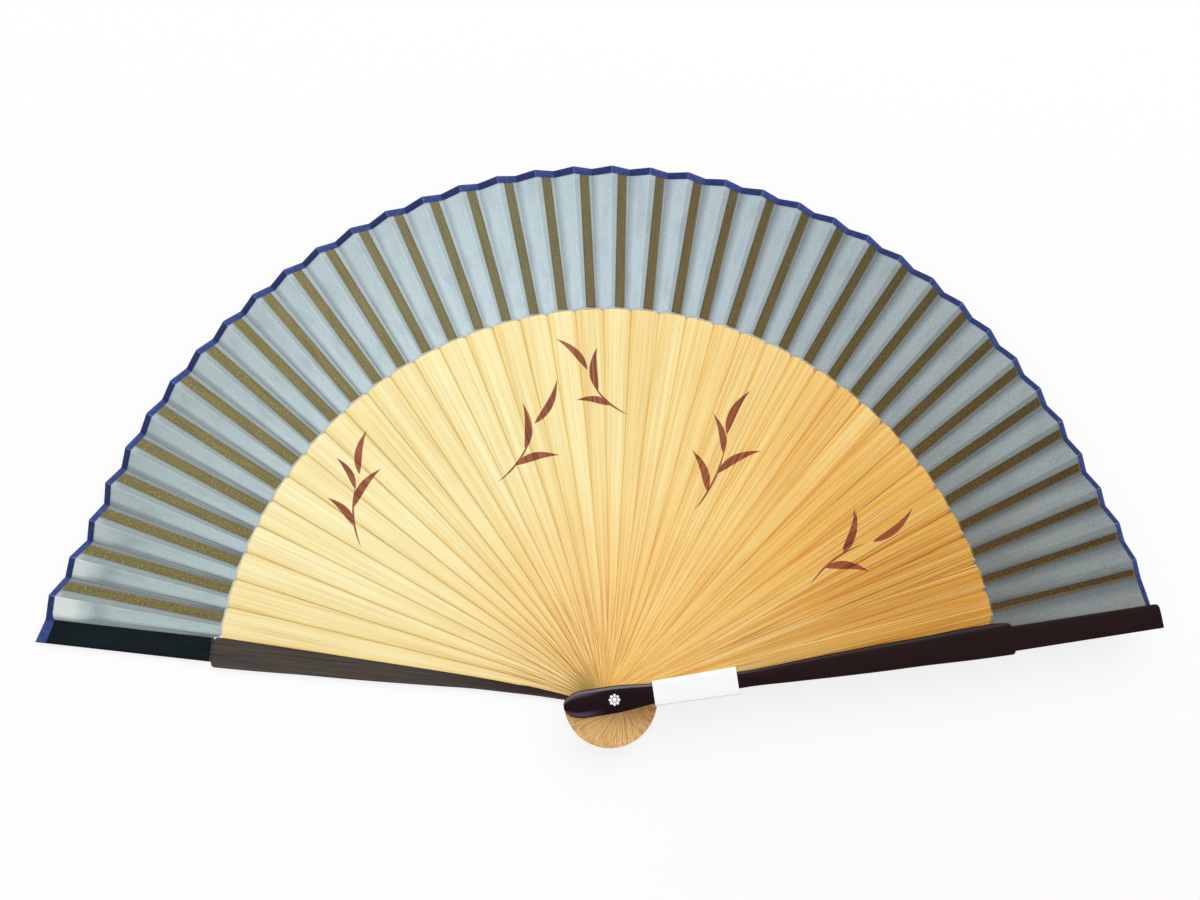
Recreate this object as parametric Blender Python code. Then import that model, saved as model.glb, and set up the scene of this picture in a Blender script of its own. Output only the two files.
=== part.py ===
"""A folding fan lying open on its back guard: two lacquered guards and thirty-eight bamboo ribs threaded
on one pin, a pleated silk leaf glued to their tips, a folded edge binding and a paper band.

The pin's axis is Z through the origin, the leaf opens towards +Y, and the back guard's outer face lies at
z = 0. Each stick is drawn with its length along its own +Y, and is then turned about the pin."""

import math

import bmesh
import bpy
from mathutils import Vector

# Counts
RIB_COUNT = 38
ROSETTE_PETALS = 8
HOLE_SIDES = 12
PIN_SIDES = 24
ROSETTE_SIDES_A_PETAL = 6
TAIL_STATIONS = 4
CORNER_STATIONS = 3

# How far the fan is open: the guards' centre lines, in degrees from +X, and the step beside a guard
# as a share of the step from rib to rib
FRONT_GUARD_ANGLE = 8.2
BACK_GUARD_ANGLE = 173.1
END_STEP_SHARE = 1.187

# Guards, with radii measured from the pin. Their ends are cut at a slant, the outer edge the longer one
FRONT_TIP_LEAD = 0.0030
BACK_TIP_LEAD = 0.0008
FRONT_TIP_SLANT = 0.0004
BACK_TIP_SLANT = 0.0011
FRONT_STEP_LEAD = 0.0054
BACK_STEP_LEAD = 0.0020
GUARD_TAIL_RADIUS = 0.0172
FRONT_GUARD_WIDTH = 0.0118
BACK_GUARD_WIDTH = 0.0103
GUARD_UPPER_WIDTH = 0.0084
GUARD_THICKNESS = 0.0020
GUARD_OUTER_STEP_DEPTH = 0.0004
GUARD_LEAF_RECESS = 0.0004
GUARD_EDGE_ROUND = 0.0007
GUARD_CORNER_ROUND = 0.0013
FRONT_UPPER_SHIFT = 0.0004
BACK_UPPER_SHIFT = 0.0008
EDGE_KNEE_SHARE = 0.3
EDGE_LIMIT_SHARE = 0.8
UPPER_EDGE_SHARE = 0.5

# Ribs: a blade up to the shoulder, then a narrow strip that carries the leaf
RIB_SHOULDER_RADIUS = 0.1352
RIB_TAIL_RADIUS = 0.0162
RIB_WIDTH = 0.0112
RIB_STRIP_FOOT_WIDTH = 0.0033
RIB_STRIP_TIP_WIDTH = 0.0030
RIB_THICKNESS = 0.00036
RIB_CORNER_ROUND = 0.0015

# How wide a stick is along its blade, both as shares of its own blade
RIB_OUTLINE_SHARES = (
    (0.0, 0.613),
    (0.12, 0.581),
    (0.23, 0.556),
    (0.32, 0.56),
    (0.40, 0.62),
    (0.47, 0.70),
    (0.55, 0.79),
    (0.64, 0.868),
    (0.75, 0.925),
    (0.87, 0.968),
)
GUARD_OUTLINE_SHARES = (
    (0.0, 0.627),
    (0.10, 0.562),
    (0.20, 0.480),
    (0.33, 0.475),
    (0.44, 0.580),
    (0.55, 0.692),
    (0.66, 0.784),
    (0.78, 0.850),
    (0.84, 0.908),
    (0.90, 0.957),
)
TAIL_WIDTH_SHARE = 0.73
TAIL_ROUND_SHARE = 0.42
TAIL_FLAT_SHARE = 0.2
NECK_RUN_SHARE = 0.15

# Gaps in the stack of sticks
RIB_GAP = 0.00006
BACK_GAP = 0.0001
BAND_ROOM = 0.00045

# Pin, rear head and rosette
PIN_RADIUS = 0.00085
PIN_HOLE_CLEARANCE = 0.00005
REAR_HEAD_RADIUS = 0.0019
REAR_HEAD_THICKNESS = 0.0005
REAR_HEAD_CLEARANCE = 0.0001
ROSETTE_SEAT_GAP = 0.00005
ROSETTE_SOCKET_DEPTH = 0.00025
ROSETTE_FLOOR = 0.00055
PETAL_RING_RADIUS = 0.00152
PETAL_RADIUS = 0.00062
BEAD_RADIUS = 0.00082
BEAD_RISE_SHARE = 0.85
ROSETTE_RING_SHARES = (0.16, 0.29, 0.39, 0.48, 0.6, 0.72, 0.84, 0.94, 1.0)

# Silk leaf and its folds
LEAF_RADIUS = 0.1857
LEAF_HEM_GAP = 0.0005
SILK_THICKNESS = 0.00012
SILK_GLUE_GAP = 0.00008
RIDGE_HEIGHT = 0.0025
VALLEY_DEPTH = 0.0011
RIDGE_TURN_SHARE = 0.274
VALLEY_TURN_SHARE = 0.226
LEAF_STEP_CLEARANCE = 0.0007
LEAF_GUARD_MARGIN = 0.0002
BACK_END_RISE = 0.0073
BACK_END_RISE_STEPS = 3.0
BACK_SLOW_RISE = 0.0022
BACK_SLOW_RISE_STEPS = 8.0
FRONT_END_RISE = 0.0057
FRONT_END_RISE_STEPS = 4.4

# Binding folded over the leaf's outer edge
BINDING_WIDTH = 0.0017
BINDING_THICKNESS = 0.00012
BINDING_CLEARANCE = 0.00005
BINDING_TIP_CLEARANCE = 0.0003
BINDING_GUARD_CLEARANCE = 0.00007

# Paper band round the front guard
BAND_START_RADIUS = 0.0135
BAND_LENGTH = 0.030
BAND_NEAR_SLACK = 0.0006
BAND_FAR_SLACK = 0.0022
BAND_PAPER_THICKNESS = 0.00018
BAND_CLEARANCE = 0.00012
BAND_CORNER_ROUND = 0.0003

SHARP_EDGE_ANGLE = 40.0
CUT_OVERRUN = 0.001
MERGE_DISTANCE = 0.000001

# Worked out from the sizes above: the leaf starts past the ribs' shoulders, the guards' tips reach past the
# leaf, and their steps lie past the shoulders
LEAF_HEM_RADIUS = RIB_SHOULDER_RADIUS + LEAF_HEM_GAP
BACK_TIP_RADIUS = LEAF_RADIUS + BACK_END_RISE + BACK_SLOW_RISE + BACK_TIP_LEAD
FRONT_TIP_RADIUS = LEAF_RADIUS + FRONT_END_RISE + FRONT_TIP_LEAD
BACK_STEP_RADIUS = RIB_SHOULDER_RADIUS + BACK_STEP_LEAD
FRONT_STEP_RADIUS = RIB_SHOULDER_RADIUS + FRONT_STEP_LEAD
TOTAL_STEPS = RIB_COUNT - 1 + 2 * END_STEP_SHARE
RIB_STEP = (BACK_GUARD_ANGLE - FRONT_GUARD_ANGLE) / TOTAL_STEPS
FIRST_RIB_HEIGHT = GUARD_THICKNESS + BACK_GAP + RIB_THICKNESS / 2
STACK_HEIGHT = RIB_COUNT * (RIB_THICKNESS + RIB_GAP)
FRONT_GUARD_HEIGHT = GUARD_THICKNESS + BACK_GAP + STACK_HEIGHT + BAND_ROOM
FAN_TOP = FRONT_GUARD_HEIGHT + GUARD_THICKNESS
HOLE_RADIUS = (PIN_RADIUS + PIN_HOLE_CLEARANCE) / math.cos(math.pi / HOLE_SIDES)
BINDING_INNER_HALF = SILK_THICKNESS / 2 + BINDING_CLEARANCE
BINDING_OUTER_HALF = BINDING_INNER_HALF + BINDING_THICKNESS
SILK_OVER_GUARD = BINDING_OUTER_HALF + BINDING_GUARD_CLEARANCE


def clear_scene():
    for old in list(bpy.data.objects):
        bpy.data.objects.remove(old, do_unlink=True)


def material(name, colour, roughness, metallic=0.0):
    """A plain Principled material."""
    made = bpy.data.materials.new(name)
    made.use_nodes = True
    shader = made.node_tree.nodes["Principled BSDF"]
    shader.inputs["Base Color"].default_value = (*colour, 1.0)
    shader.inputs["Roughness"].default_value = roughness
    shader.inputs["Metallic"].default_value = metallic
    return made


def object_of(mesh, name, surface, parent=None):
    obj = bpy.data.objects.new(name, mesh)
    bpy.context.scene.collection.objects.link(obj)
    if not mesh.materials:
        mesh.materials.append(surface)
    obj.parent = parent
    return obj


def mesh_of(bm, name, smooth=False):
    """Closes the bmesh into a mesh whose faces point out."""
    bmesh.ops.recalc_face_normals(bm, faces=bm.faces)
    mesh = bpy.data.meshes.new(name)
    bm.to_mesh(mesh)
    bm.free()
    if smooth:
        mesh.shade_smooth()
        mesh.set_sharp_from_angle(angle=math.radians(SHARP_EDGE_ANGLE))
    return mesh


def lofted(rings, name, folded=False):
    """A closed solid through rings of as many points each, capped at both ends. The faces of a folded sheet
    are cut along the same diagonals above and below, so that it is equally thick everywhere."""
    bm = bmesh.new()
    rows = [[bm.verts.new(point) for point in ring] for ring in rings]
    for row, after in zip(rows, rows[1:]):
        for i, corner in enumerate(row):
            j = (i + 1) % len(row)
            if not folded:
                bm.faces.new((corner, row[j], after[j], after[i]))
            elif corner.co.xy.length < row[j].co.xy.length:
                bm.faces.new((corner, row[j], after[j]))
                bm.faces.new((corner, after[j], after[i]))
            else:
                bm.faces.new((corner, row[j], after[i]))
                bm.faces.new((row[j], after[j], after[i]))
    bm.faces.new(rows[0])
    bm.faces.new(rows[-1])
    return mesh_of(bm, name)


def plate(outline, bottom, top, name):
    """A flat plate with that outline, made by extruding one face upwards."""
    bm = bmesh.new()
    face = bm.faces.new([bm.verts.new((x, y, bottom)) for x, y in outline])
    grown = bmesh.ops.extrude_face_region(bm, geom=[face])
    upper = [item for item in grown["geom"] if isinstance(item, bmesh.types.BMVert)]
    bmesh.ops.translate(bm, vec=(0, 0, top - bottom), verts=upper)
    return mesh_of(bm, name)


def turned(profile, sides, name):
    """A closed solid of revolution about Z from (radius, height) points that start and end on the axis."""
    bm = bmesh.new()
    points = [bm.verts.new((radius, 0, height)) for radius, height in profile]
    edges = [bm.edges.new(pair) for pair in zip(points, points[1:])]
    whole = 2 * math.pi
    bmesh.ops.spin(bm, geom=points + edges, axis=(0, 0, 1), angle=whole, steps=sides, use_merge=True)
    bmesh.ops.remove_doubles(bm, verts=bm.verts, dist=MERGE_DISTANCE)
    return mesh_of(bm, name, smooth=True)


def cutter(name, radius, bottom, top, sides, parent):
    """A hidden upright cylinder on the pin's axis, for the Booleans to cut with."""
    bm = bmesh.new()
    height = top - bottom
    bmesh.ops.create_cone(bm, cap_ends=True, segments=sides, radius1=radius, radius2=radius, depth=height)
    bmesh.ops.translate(bm, vec=(0, 0, (top + bottom) / 2), verts=bm.verts)
    obj = bpy.data.objects.new(name, mesh_of(bm, name))
    bpy.context.scene.collection.objects.link(obj)
    obj.parent = parent
    obj.hide_render = True
    obj.display_type = "WIRE"
    return obj


def cut(obj, tool):
    difference = obj.modifiers.new("cut_" + tool.name, "BOOLEAN")
    difference.operation = "DIFFERENCE"
    difference.solver = "EXACT"
    difference.object = tool


def stick_point(angle, lateral, along, height):
    """A point given on a stick that lies at that angle: lateral runs clockwise from its centre line."""
    turn = math.radians(angle)
    x = along * math.cos(turn) + lateral * math.sin(turn)
    y = along * math.sin(turn) - lateral * math.cos(turn)
    return Vector((x, y, height))


def rib_steps(number):
    """How many rib steps rib `number` (1 beside the back guard) lies from the back guard."""
    return END_STEP_SHARE + number - 1


def rib_angle(number):
    return BACK_GUARD_ANGLE - RIB_STEP * rib_steps(number)


def rib_height(number):
    """The height of a rib's middle plane in the stack."""
    return FIRST_RIB_HEIGHT + (number - 1) * (RIB_THICKNESS + RIB_GAP)


def end_rise(steps, reach):
    """A smooth rise from 0, `reach` steps away from a guard, to 1 at the guard."""
    near = max(0.0, 1 - steps / reach)
    return near * near * (3 - 2 * near)


def leaf_edge_radius(steps):
    """The leaf's outer edge, which rises towards the guards' tips over its last pleats."""
    back = BACK_END_RISE * end_rise(steps, BACK_END_RISE_STEPS)
    slow = BACK_SLOW_RISE * max(0.0, 1 - steps / BACK_SLOW_RISE_STEPS)
    front = FRONT_END_RISE * end_rise(TOTAL_STEPS - steps, FRONT_END_RISE_STEPS)
    return LEAF_RADIUS + back + slow + front


def tail_stations(tail_radius, blade_width):
    """(along, half width) round the tail, from its end to where it runs straight."""
    half = blade_width * TAIL_WIDTH_SHARE / 2
    reach = tail_radius * TAIL_ROUND_SHARE
    first_turn = math.asin(TAIL_FLAT_SHARE)
    found = []
    for i in range(TAIL_STATIONS):
        turn = first_turn + (math.pi / 2 - first_turn) * i / (TAIL_STATIONS - 1)
        bulge = math.cos(turn) / math.cos(first_turn)
        found.append((-tail_radius + reach * (1 - bulge), half * math.sin(turn)))
    return found


def blade_stations(outline, shoulder_radius, blade_width):
    """(along, half width) from the pin to where the shoulder's corner begins."""
    return [(a * shoulder_radius, w * blade_width / 2) for a, w in outline]


def front_guard_width_at(radius):
    """The front guard's width that far from the pin, below the step."""
    stations = blade_stations(GUARD_OUTLINE_SHARES, FRONT_STEP_RADIUS, FRONT_GUARD_WIDTH)
    for (along, half), (after, after_half) in zip(stations, stations[1:]):
        if along <= radius <= after:
            share = (radius - along) / (after - along)
            return 2 * (half + (after_half - half) * share)
    return FRONT_GUARD_WIDTH


def corner_stations(shoulder_radius, blade_half, neck_half, corner):
    """(along, half width) round a shoulder's corner and in to the narrow part's foot."""
    found = []
    for i in range(CORNER_STATIONS + 1):
        turn = math.pi / 2 * i / CORNER_STATIONS
        along = shoulder_radius - corner * (1 - math.sin(turn))
        found.append((along, blade_half - corner * (1 - math.cos(turn))))
    found.append((shoulder_radius + corner * NECK_RUN_SHARE, neck_half))
    return found


def rib_mesh(tip_radius):
    """A flat bamboo rib, drawn about its own middle plane."""
    stations = tail_stations(RIB_TAIL_RADIUS, RIB_WIDTH)
    stations += blade_stations(RIB_OUTLINE_SHARES, RIB_SHOULDER_RADIUS, RIB_WIDTH)
    stations += corner_stations(
        RIB_SHOULDER_RADIUS, RIB_WIDTH / 2, RIB_STRIP_FOOT_WIDTH / 2, RIB_CORNER_ROUND
    )
    stations.append((tip_radius, RIB_STRIP_TIP_WIDTH / 2))
    right = [(half, along) for along, half in stations]
    left = [(-half, along) for along, half in reversed(stations)]
    return plate(right + left, -RIB_THICKNESS / 2, RIB_THICKNESS / 2, "rib")


def guard_ring(along, middle, half, inner, outer, edge):
    """A guard's section: flat on the inner face, the long edges of its outer face rounded."""
    fall = math.copysign(edge, outer - inner)
    left = middle - half
    right = middle + half
    return [
        (left, along, inner),
        (right, along, inner),
        (right, along, outer - fall),
        (right - edge * EDGE_KNEE_SHARE, along, outer - fall * EDGE_KNEE_SHARE),
        (right - edge, along, outer),
        (left + edge, along, outer),
        (left + edge * EDGE_KNEE_SHARE, along, outer - fall * EDGE_KNEE_SHARE),
        (left, along, outer - fall),
    ]


def slanted(ring, middle, slant):
    """The ring with its points moved along the guard by `slant` for each metre off its middle."""
    return [(x, along + slant * (x - middle), height) for x, along, height in ring]


def guard_mesh(name, inner, outer, width, step_radius, tip_radius, slant, shift):
    """A guard between the heights of its inner and outer faces. Past the step it is narrower, thinner, and
    shifted sideways towards the leaf."""
    out = math.copysign(1, outer - inner)
    edge = GUARD_EDGE_ROUND
    rings = []
    tail = tail_stations(GUARD_TAIL_RADIUS, width)
    for along, half in tail:
        drop = edge * (1 - half / tail[-1][1])
        round_edge = min(edge, half * EDGE_LIMIT_SHARE)
        rings.append(guard_ring(along, 0, half, inner, outer - out * drop, round_edge))
    blade = blade_stations(GUARD_OUTLINE_SHARES, step_radius, width)
    corner = corner_stations(step_radius, width / 2, GUARD_UPPER_WIDTH / 2, GUARD_CORNER_ROUND)
    for along, half in blade + corner[:-1]:
        rings.append(guard_ring(along, 0, half, inner, outer, edge))
    foot = corner[-1][0]
    half = GUARD_UPPER_WIDTH / 2
    leaf_face = inner + out * GUARD_LEAF_RECESS
    back = outer - out * GUARD_OUTER_STEP_DEPTH
    fine = edge * UPPER_EDGE_SHARE
    rings.append(guard_ring(foot, shift, half, leaf_face, back, fine))
    last = guard_ring(tip_radius - fine, shift, half, leaf_face, back, fine)
    rings.append(slanted(last, shift, slant))
    end = guard_ring(tip_radius, shift, half - fine, leaf_face, back - out * fine, fine)
    rings.append(slanted(end, shift, slant))
    return lofted(rings, name)


def fold_lines():
    """The leaf's fold lines from the back guard to the front one, each as its inner and outer point on the
    silk's middle surface."""
    lines = []
    guard_half = GUARD_UPPER_WIDTH / 2 - LEAF_GUARD_MARGIN
    past_step = LEAF_STEP_CLEARANCE + GUARD_CORNER_ROUND * NECK_RUN_SHARE
    back_height = GUARD_THICKNESS - GUARD_LEAF_RECESS + SILK_OVER_GUARD
    for side in (-guard_half, guard_half):
        ends = (BACK_STEP_RADIUS + past_step, leaf_edge_radius(0))
        lines.append([stick_point(BACK_GUARD_ANGLE, BACK_UPPER_SHIFT + side, r, back_height) for r in ends])
    for number in range(1, RIB_COUNT + 1):
        lines += rib_fold_lines(number)
    front_height = FRONT_GUARD_HEIGHT + GUARD_LEAF_RECESS - SILK_OVER_GUARD
    for side in (-guard_half, guard_half):
        ends = (FRONT_STEP_RADIUS + past_step, leaf_edge_radius(TOTAL_STEPS))
        lateral = side - FRONT_UPPER_SHIFT
        lines.append([stick_point(FRONT_GUARD_ANGLE, lateral, r, front_height) for r in ends])
    return lines


def rib_fold_lines(number):
    """The ridge, the two edges of the strip under the silk, and the valley that belong to one rib."""
    angle = rib_angle(number)
    middle = rib_height(number)
    glued = middle + RIB_THICKNESS / 2 + SILK_GLUE_GAP + SILK_THICKNESS / 2
    outer = leaf_edge_radius(rib_steps(number))
    strip = ((LEAF_HEM_RADIUS, RIB_STRIP_FOOT_WIDTH / 2), (outer, RIB_STRIP_TIP_WIDTH / 2))
    turn_left = angle + RIB_STEP * RIDGE_TURN_SHARE
    turn_right = angle - RIB_STEP * VALLEY_TURN_SHARE
    ridge = []
    valley = []
    for radius in (LEAF_HEM_RADIUS, outer):
        share = radius / LEAF_RADIUS
        ridge.append(stick_point(turn_left, 0, radius, middle + RIDGE_HEIGHT * share))
        valley.append(stick_point(turn_right, 0, radius, middle - VALLEY_DEPTH * share))
    left = [stick_point(angle, -half, radius, glued) for radius, half in strip]
    right = [stick_point(angle, half, radius, glued) for radius, half in strip]
    return [ridge, left, right, valley]


def raised(point, height):
    return point + Vector((0, 0, height))


def leaf_mesh(lines):
    """The silk as a thin zigzag solid that stops inside the binding."""
    half = SILK_THICKNESS / 2
    inset = BINDING_THICKNESS + BINDING_CLEARANCE
    rings = []
    for inner, outer in lines:
        end = outer - (outer - inner).normalized() * inset
        rings.append([raised(inner, -half), raised(end, -half), raised(end, half), raised(inner, half)])
    return lofted(rings, "silk_leaf", folded=True)


def binding_mesh(lines):
    """A tape folded over the leaf's outer edge, open towards the pin."""
    low, high = BINDING_INNER_HALF, BINDING_OUTER_HALF
    rings = []
    for inner, outer in lines:
        run = (outer - inner).normalized()
        start = outer - run * BINDING_WIDTH
        fold = outer - run * BINDING_THICKNESS
        rings.append([
            raised(start, high),
            raised(outer, high),
            raised(outer, -high),
            raised(start, -high),
            raised(start, -low),
            raised(fold, -low),
            raised(fold, low),
            raised(start, low),
        ])
    return lofted(rings, "edge_binding", folded=True)


def pin_mesh():
    """The rivet: a flat rear head sunk in the back guard, and a shaft up into the rosette."""
    top = FAN_TOP + ROSETTE_SEAT_GAP + ROSETTE_SOCKET_DEPTH - REAR_HEAD_CLEARANCE
    profile = (
        (0, 0),
        (REAR_HEAD_RADIUS, 0),
        (REAR_HEAD_RADIUS, REAR_HEAD_THICKNESS),
        (PIN_RADIUS, REAR_HEAD_THICKNESS),
        (PIN_RADIUS, top),
        (0, top),
    )
    return turned(profile, PIN_SIDES, "pivot_pin")


def petal_outline(turn):
    """How far the ring of round petals reaches from the axis at that angle."""
    pitch = 2 * math.pi / ROSETTE_PETALS
    off = (turn + pitch / 2) % pitch - pitch / 2
    side = PETAL_RING_RADIUS * math.sin(off)
    return PETAL_RING_RADIUS * math.cos(off) + math.sqrt(max(PETAL_RADIUS**2 - side**2, 0))


def rosette_height(x, y):
    """The flower's top surface: round beads that stand out of a flat floor."""
    found = ROSETTE_FLOOR
    beads = [(0, 0, BEAD_RADIUS)]
    for i in range(ROSETTE_PETALS):
        turn = 2 * math.pi * i / ROSETTE_PETALS
        beads.append((PETAL_RING_RADIUS * math.cos(turn), PETAL_RING_RADIUS * math.sin(turn), PETAL_RADIUS))
    for bead_x, bead_y, radius in beads:
        inside = radius**2 - (x - bead_x) ** 2 - (y - bead_y) ** 2
        if inside > 0:
            found = max(found, ROSETTE_FLOOR + math.sqrt(inside) * BEAD_RISE_SHARE)
    return found


def rosette_mesh():
    """A small beaded flower: a round bead inside a ring of petals."""
    bm = bmesh.new()
    sides = ROSETTE_PETALS * ROSETTE_SIDES_A_PETAL
    base = FAN_TOP + ROSETTE_SEAT_GAP
    rows = []
    for share in ROSETTE_RING_SHARES:
        row = []
        for i in range(sides):
            turn = 2 * math.pi * i / sides
            reach = petal_outline(turn) * share
            x = reach * math.cos(turn)
            y = reach * math.sin(turn)
            row.append(bm.verts.new((x, y, base + rosette_height(x, y))))
        rows.append(row)
    rim = rows[-1]
    foot = [bm.verts.new((corner.co.x, corner.co.y, base)) for corner in rim]
    top = bm.verts.new((0, 0, base + rosette_height(0, 0)))
    for i in range(sides):
        j = (i + 1) % sides
        bm.faces.new((top, rows[0][i], rows[0][j]))
        for row, after in zip(rows, rows[1:]):
            bm.faces.new((row[i], after[i], after[j], row[j]))
        bm.faces.new((rim[i], foot[i], foot[j], rim[j]))
    bm.faces.new(foot)
    return mesh_of(bm, "pin_rosette", smooth=True)


def band_mesh():
    """A flat paper sleeve round the front guard, drawn in that guard's own frame."""
    paper = BAND_PAPER_THICKNESS
    low = FRONT_GUARD_HEIGHT - BAND_CLEARANCE
    high = FAN_TOP + BAND_CLEARANCE
    end_radius = BAND_START_RADIUS + BAND_LENGTH
    ends = (
        (BAND_START_RADIUS, (front_guard_width_at(BAND_START_RADIUS) + BAND_NEAR_SLACK) / 2),
        (end_radius, (front_guard_width_at(end_radius) + BAND_FAR_SLACK) / 2),
    )
    bm = bmesh.new()
    loops = []
    for along, half in ends:
        inside = rounded_rectangle(half, low, high, BAND_CORNER_ROUND)
        outside = rounded_rectangle(half + paper, low - paper, high + paper, BAND_CORNER_ROUND + paper)
        loops.append([[bm.verts.new((x, along, z)) for x, z in loop] for loop in (inside, outside)])
    (near_in, near_out), (far_in, far_out) = loops
    for i in range(len(near_in)):
        j = (i + 1) % len(near_in)
        for quad in (
            (near_in[i], near_in[j], far_in[j], far_in[i]),
            (near_out[i], near_out[j], far_out[j], far_out[i]),
            (near_in[i], near_in[j], near_out[j], near_out[i]),
            (far_in[i], far_in[j], far_out[j], far_out[i]),
        ):
            bm.faces.new(quad)
    return mesh_of(bm, "paper_band")


def rounded_rectangle(half, low, high, corner):
    """(x, z) points round a rectangle with small rounded corners."""
    centres = ((half - corner, low + corner, -90), (half - corner, high - corner, 0),
               (-half + corner, high - corner, 90), (-half + corner, low + corner, 180))
    points = []
    for x, z, start in centres:
        for turn in (start, start + 45, start + 90):
            a = math.radians(turn)
            points.append((x + corner * math.cos(a), z + corner * math.sin(a)))
    return points


def turn_to(obj, angle):
    obj.rotation_euler = (0, 0, math.radians(angle - 90))


def build():
    clear_scene()
    pivot = bpy.data.objects.new("fan_pivot", None)
    bpy.context.scene.collection.objects.link(pivot)

    bamboo = material("bamboo", (0.85, 0.58, 0.24), 0.45)
    lacquer = material("wine_black_lacquer", (0.022, 0.011, 0.013), 0.32)
    silver = material("silver_metal", (0.86, 0.86, 0.85), 0.25, 1.0)
    silk = material("grey_blue_silk", (0.38, 0.50, 0.55), 0.75)
    navy = material("navy_binding", (0.028, 0.045, 0.22), 0.7)
    paper = material("white_paper", (0.92, 0.92, 0.92), 0.8)

    pin_hole = cutter("pin_hole_cutter", HOLE_RADIUS, -CUT_OVERRUN, FAN_TOP + CUT_OVERRUN, HOLE_SIDES, pivot)
    head_hole = cutter(
        "rear_head_cutter",
        REAR_HEAD_RADIUS + REAR_HEAD_CLEARANCE,
        -CUT_OVERRUN,
        REAR_HEAD_THICKNESS + REAR_HEAD_CLEARANCE,
        PIN_SIDES,
        pivot,
    )
    socket = cutter(
        "rosette_socket_cutter",
        HOLE_RADIUS,
        FAN_TOP,
        FAN_TOP + ROSETTE_SEAT_GAP + ROSETTE_SOCKET_DEPTH,
        HOLE_SIDES,
        pivot,
    )

    back_mesh = guard_mesh(
        "back_guard",
        GUARD_THICKNESS,
        0,
        BACK_GUARD_WIDTH,
        BACK_STEP_RADIUS,
        BACK_TIP_RADIUS,
        -BACK_TIP_SLANT / GUARD_UPPER_WIDTH,
        BACK_UPPER_SHIFT,
    )
    back_guard = object_of(back_mesh, "back_guard", lacquer, pivot)
    turn_to(back_guard, BACK_GUARD_ANGLE)
    cut(back_guard, pin_hole)
    cut(back_guard, head_hole)

    front_mesh = guard_mesh(
        "front_guard",
        FRONT_GUARD_HEIGHT,
        FAN_TOP,
        FRONT_GUARD_WIDTH,
        FRONT_STEP_RADIUS,
        FRONT_TIP_RADIUS,
        FRONT_TIP_SLANT / GUARD_UPPER_WIDTH,
        -FRONT_UPPER_SHIFT,
    )
    front_guard = object_of(front_mesh, "front_guard", lacquer, pivot)
    turn_to(front_guard, FRONT_GUARD_ANGLE)
    cut(front_guard, pin_hole)

    shared = {}
    for number in range(1, RIB_COUNT + 1):
        tip = leaf_edge_radius(rib_steps(number)) - BINDING_WIDTH - BINDING_TIP_CLEARANCE
        if tip not in shared:
            shared[tip] = rib_mesh(tip)
        rib = object_of(shared[tip], f"rib_{number:02d}", bamboo, pivot)
        rib.location.z = rib_height(number)
        turn_to(rib, rib_angle(number))
        cut(rib, pin_hole)

    object_of(pin_mesh(), "pivot_pin", silver, pivot)
    rosette = object_of(rosette_mesh(), "pin_rosette", silver, pivot)
    cut(rosette, socket)

    lines = fold_lines()
    object_of(leaf_mesh(lines), "silk_leaf", silk, pivot)
    object_of(binding_mesh(lines), "edge_binding", navy, pivot)

    object_of(band_mesh(), "paper_band", paper, front_guard)


build()
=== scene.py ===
"""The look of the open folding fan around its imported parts: twisted bamboo ribs, pleated sheer silk with a
folded binding, lacquered guards, a beaded rosette and a paper band."""

import math

import bpy
import numpy as np
from mathutils import Matrix, Vector


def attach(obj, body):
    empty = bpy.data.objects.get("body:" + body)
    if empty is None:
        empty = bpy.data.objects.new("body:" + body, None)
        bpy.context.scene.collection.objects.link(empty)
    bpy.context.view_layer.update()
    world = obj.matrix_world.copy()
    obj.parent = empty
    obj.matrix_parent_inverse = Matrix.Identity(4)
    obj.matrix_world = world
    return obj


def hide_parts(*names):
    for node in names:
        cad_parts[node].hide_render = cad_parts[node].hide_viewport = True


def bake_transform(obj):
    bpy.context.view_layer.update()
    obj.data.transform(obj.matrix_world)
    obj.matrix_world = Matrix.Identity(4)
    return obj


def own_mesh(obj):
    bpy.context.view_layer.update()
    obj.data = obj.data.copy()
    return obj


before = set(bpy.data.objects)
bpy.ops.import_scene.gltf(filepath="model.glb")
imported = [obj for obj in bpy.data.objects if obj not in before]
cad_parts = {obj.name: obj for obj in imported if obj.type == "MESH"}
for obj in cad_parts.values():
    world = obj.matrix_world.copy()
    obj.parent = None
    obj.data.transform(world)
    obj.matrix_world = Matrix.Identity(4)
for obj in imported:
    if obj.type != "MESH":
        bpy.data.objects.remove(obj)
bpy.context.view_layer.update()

# The fan's plan, as in the frame: angles in degrees from +X, lengths in metres
RIBS = 38
FRONT_ANGLE = 8.2
BACK_ANGLE = 173.1
# Ribs stand one step apart, and the guards this many steps from the ribs beside them
END_STEP = 1.187
STEPS = RIBS - 1 + 2 * END_STEP
STEP = (BACK_ANGLE - FRONT_ANGLE) / STEPS
STEP_RADIANS = math.radians(STEP)
# How far the leaf's ridges lie counter-clockwise of a rib, and its valleys clockwise, in steps
RIDGE_SHARE = 0.274
VALLEY_SHARE = 0.226

# Ribs: radius of the shoulder, tail, half width of the blade and of the strip past it, and the stack's heights
SHOULDER = 0.1352
RIB_TAIL = 0.0170
RIB_HALF = 0.0056
STRIP_FOOT_HALF = 0.00165
STRIP_TIP_HALF = 0.0015
RIB_THICK = 0.00036
RIB_CROWN = 0.00012
RIB_PITCH = 0.00042
FIRST_RIB_HEIGHT = 0.00228
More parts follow.
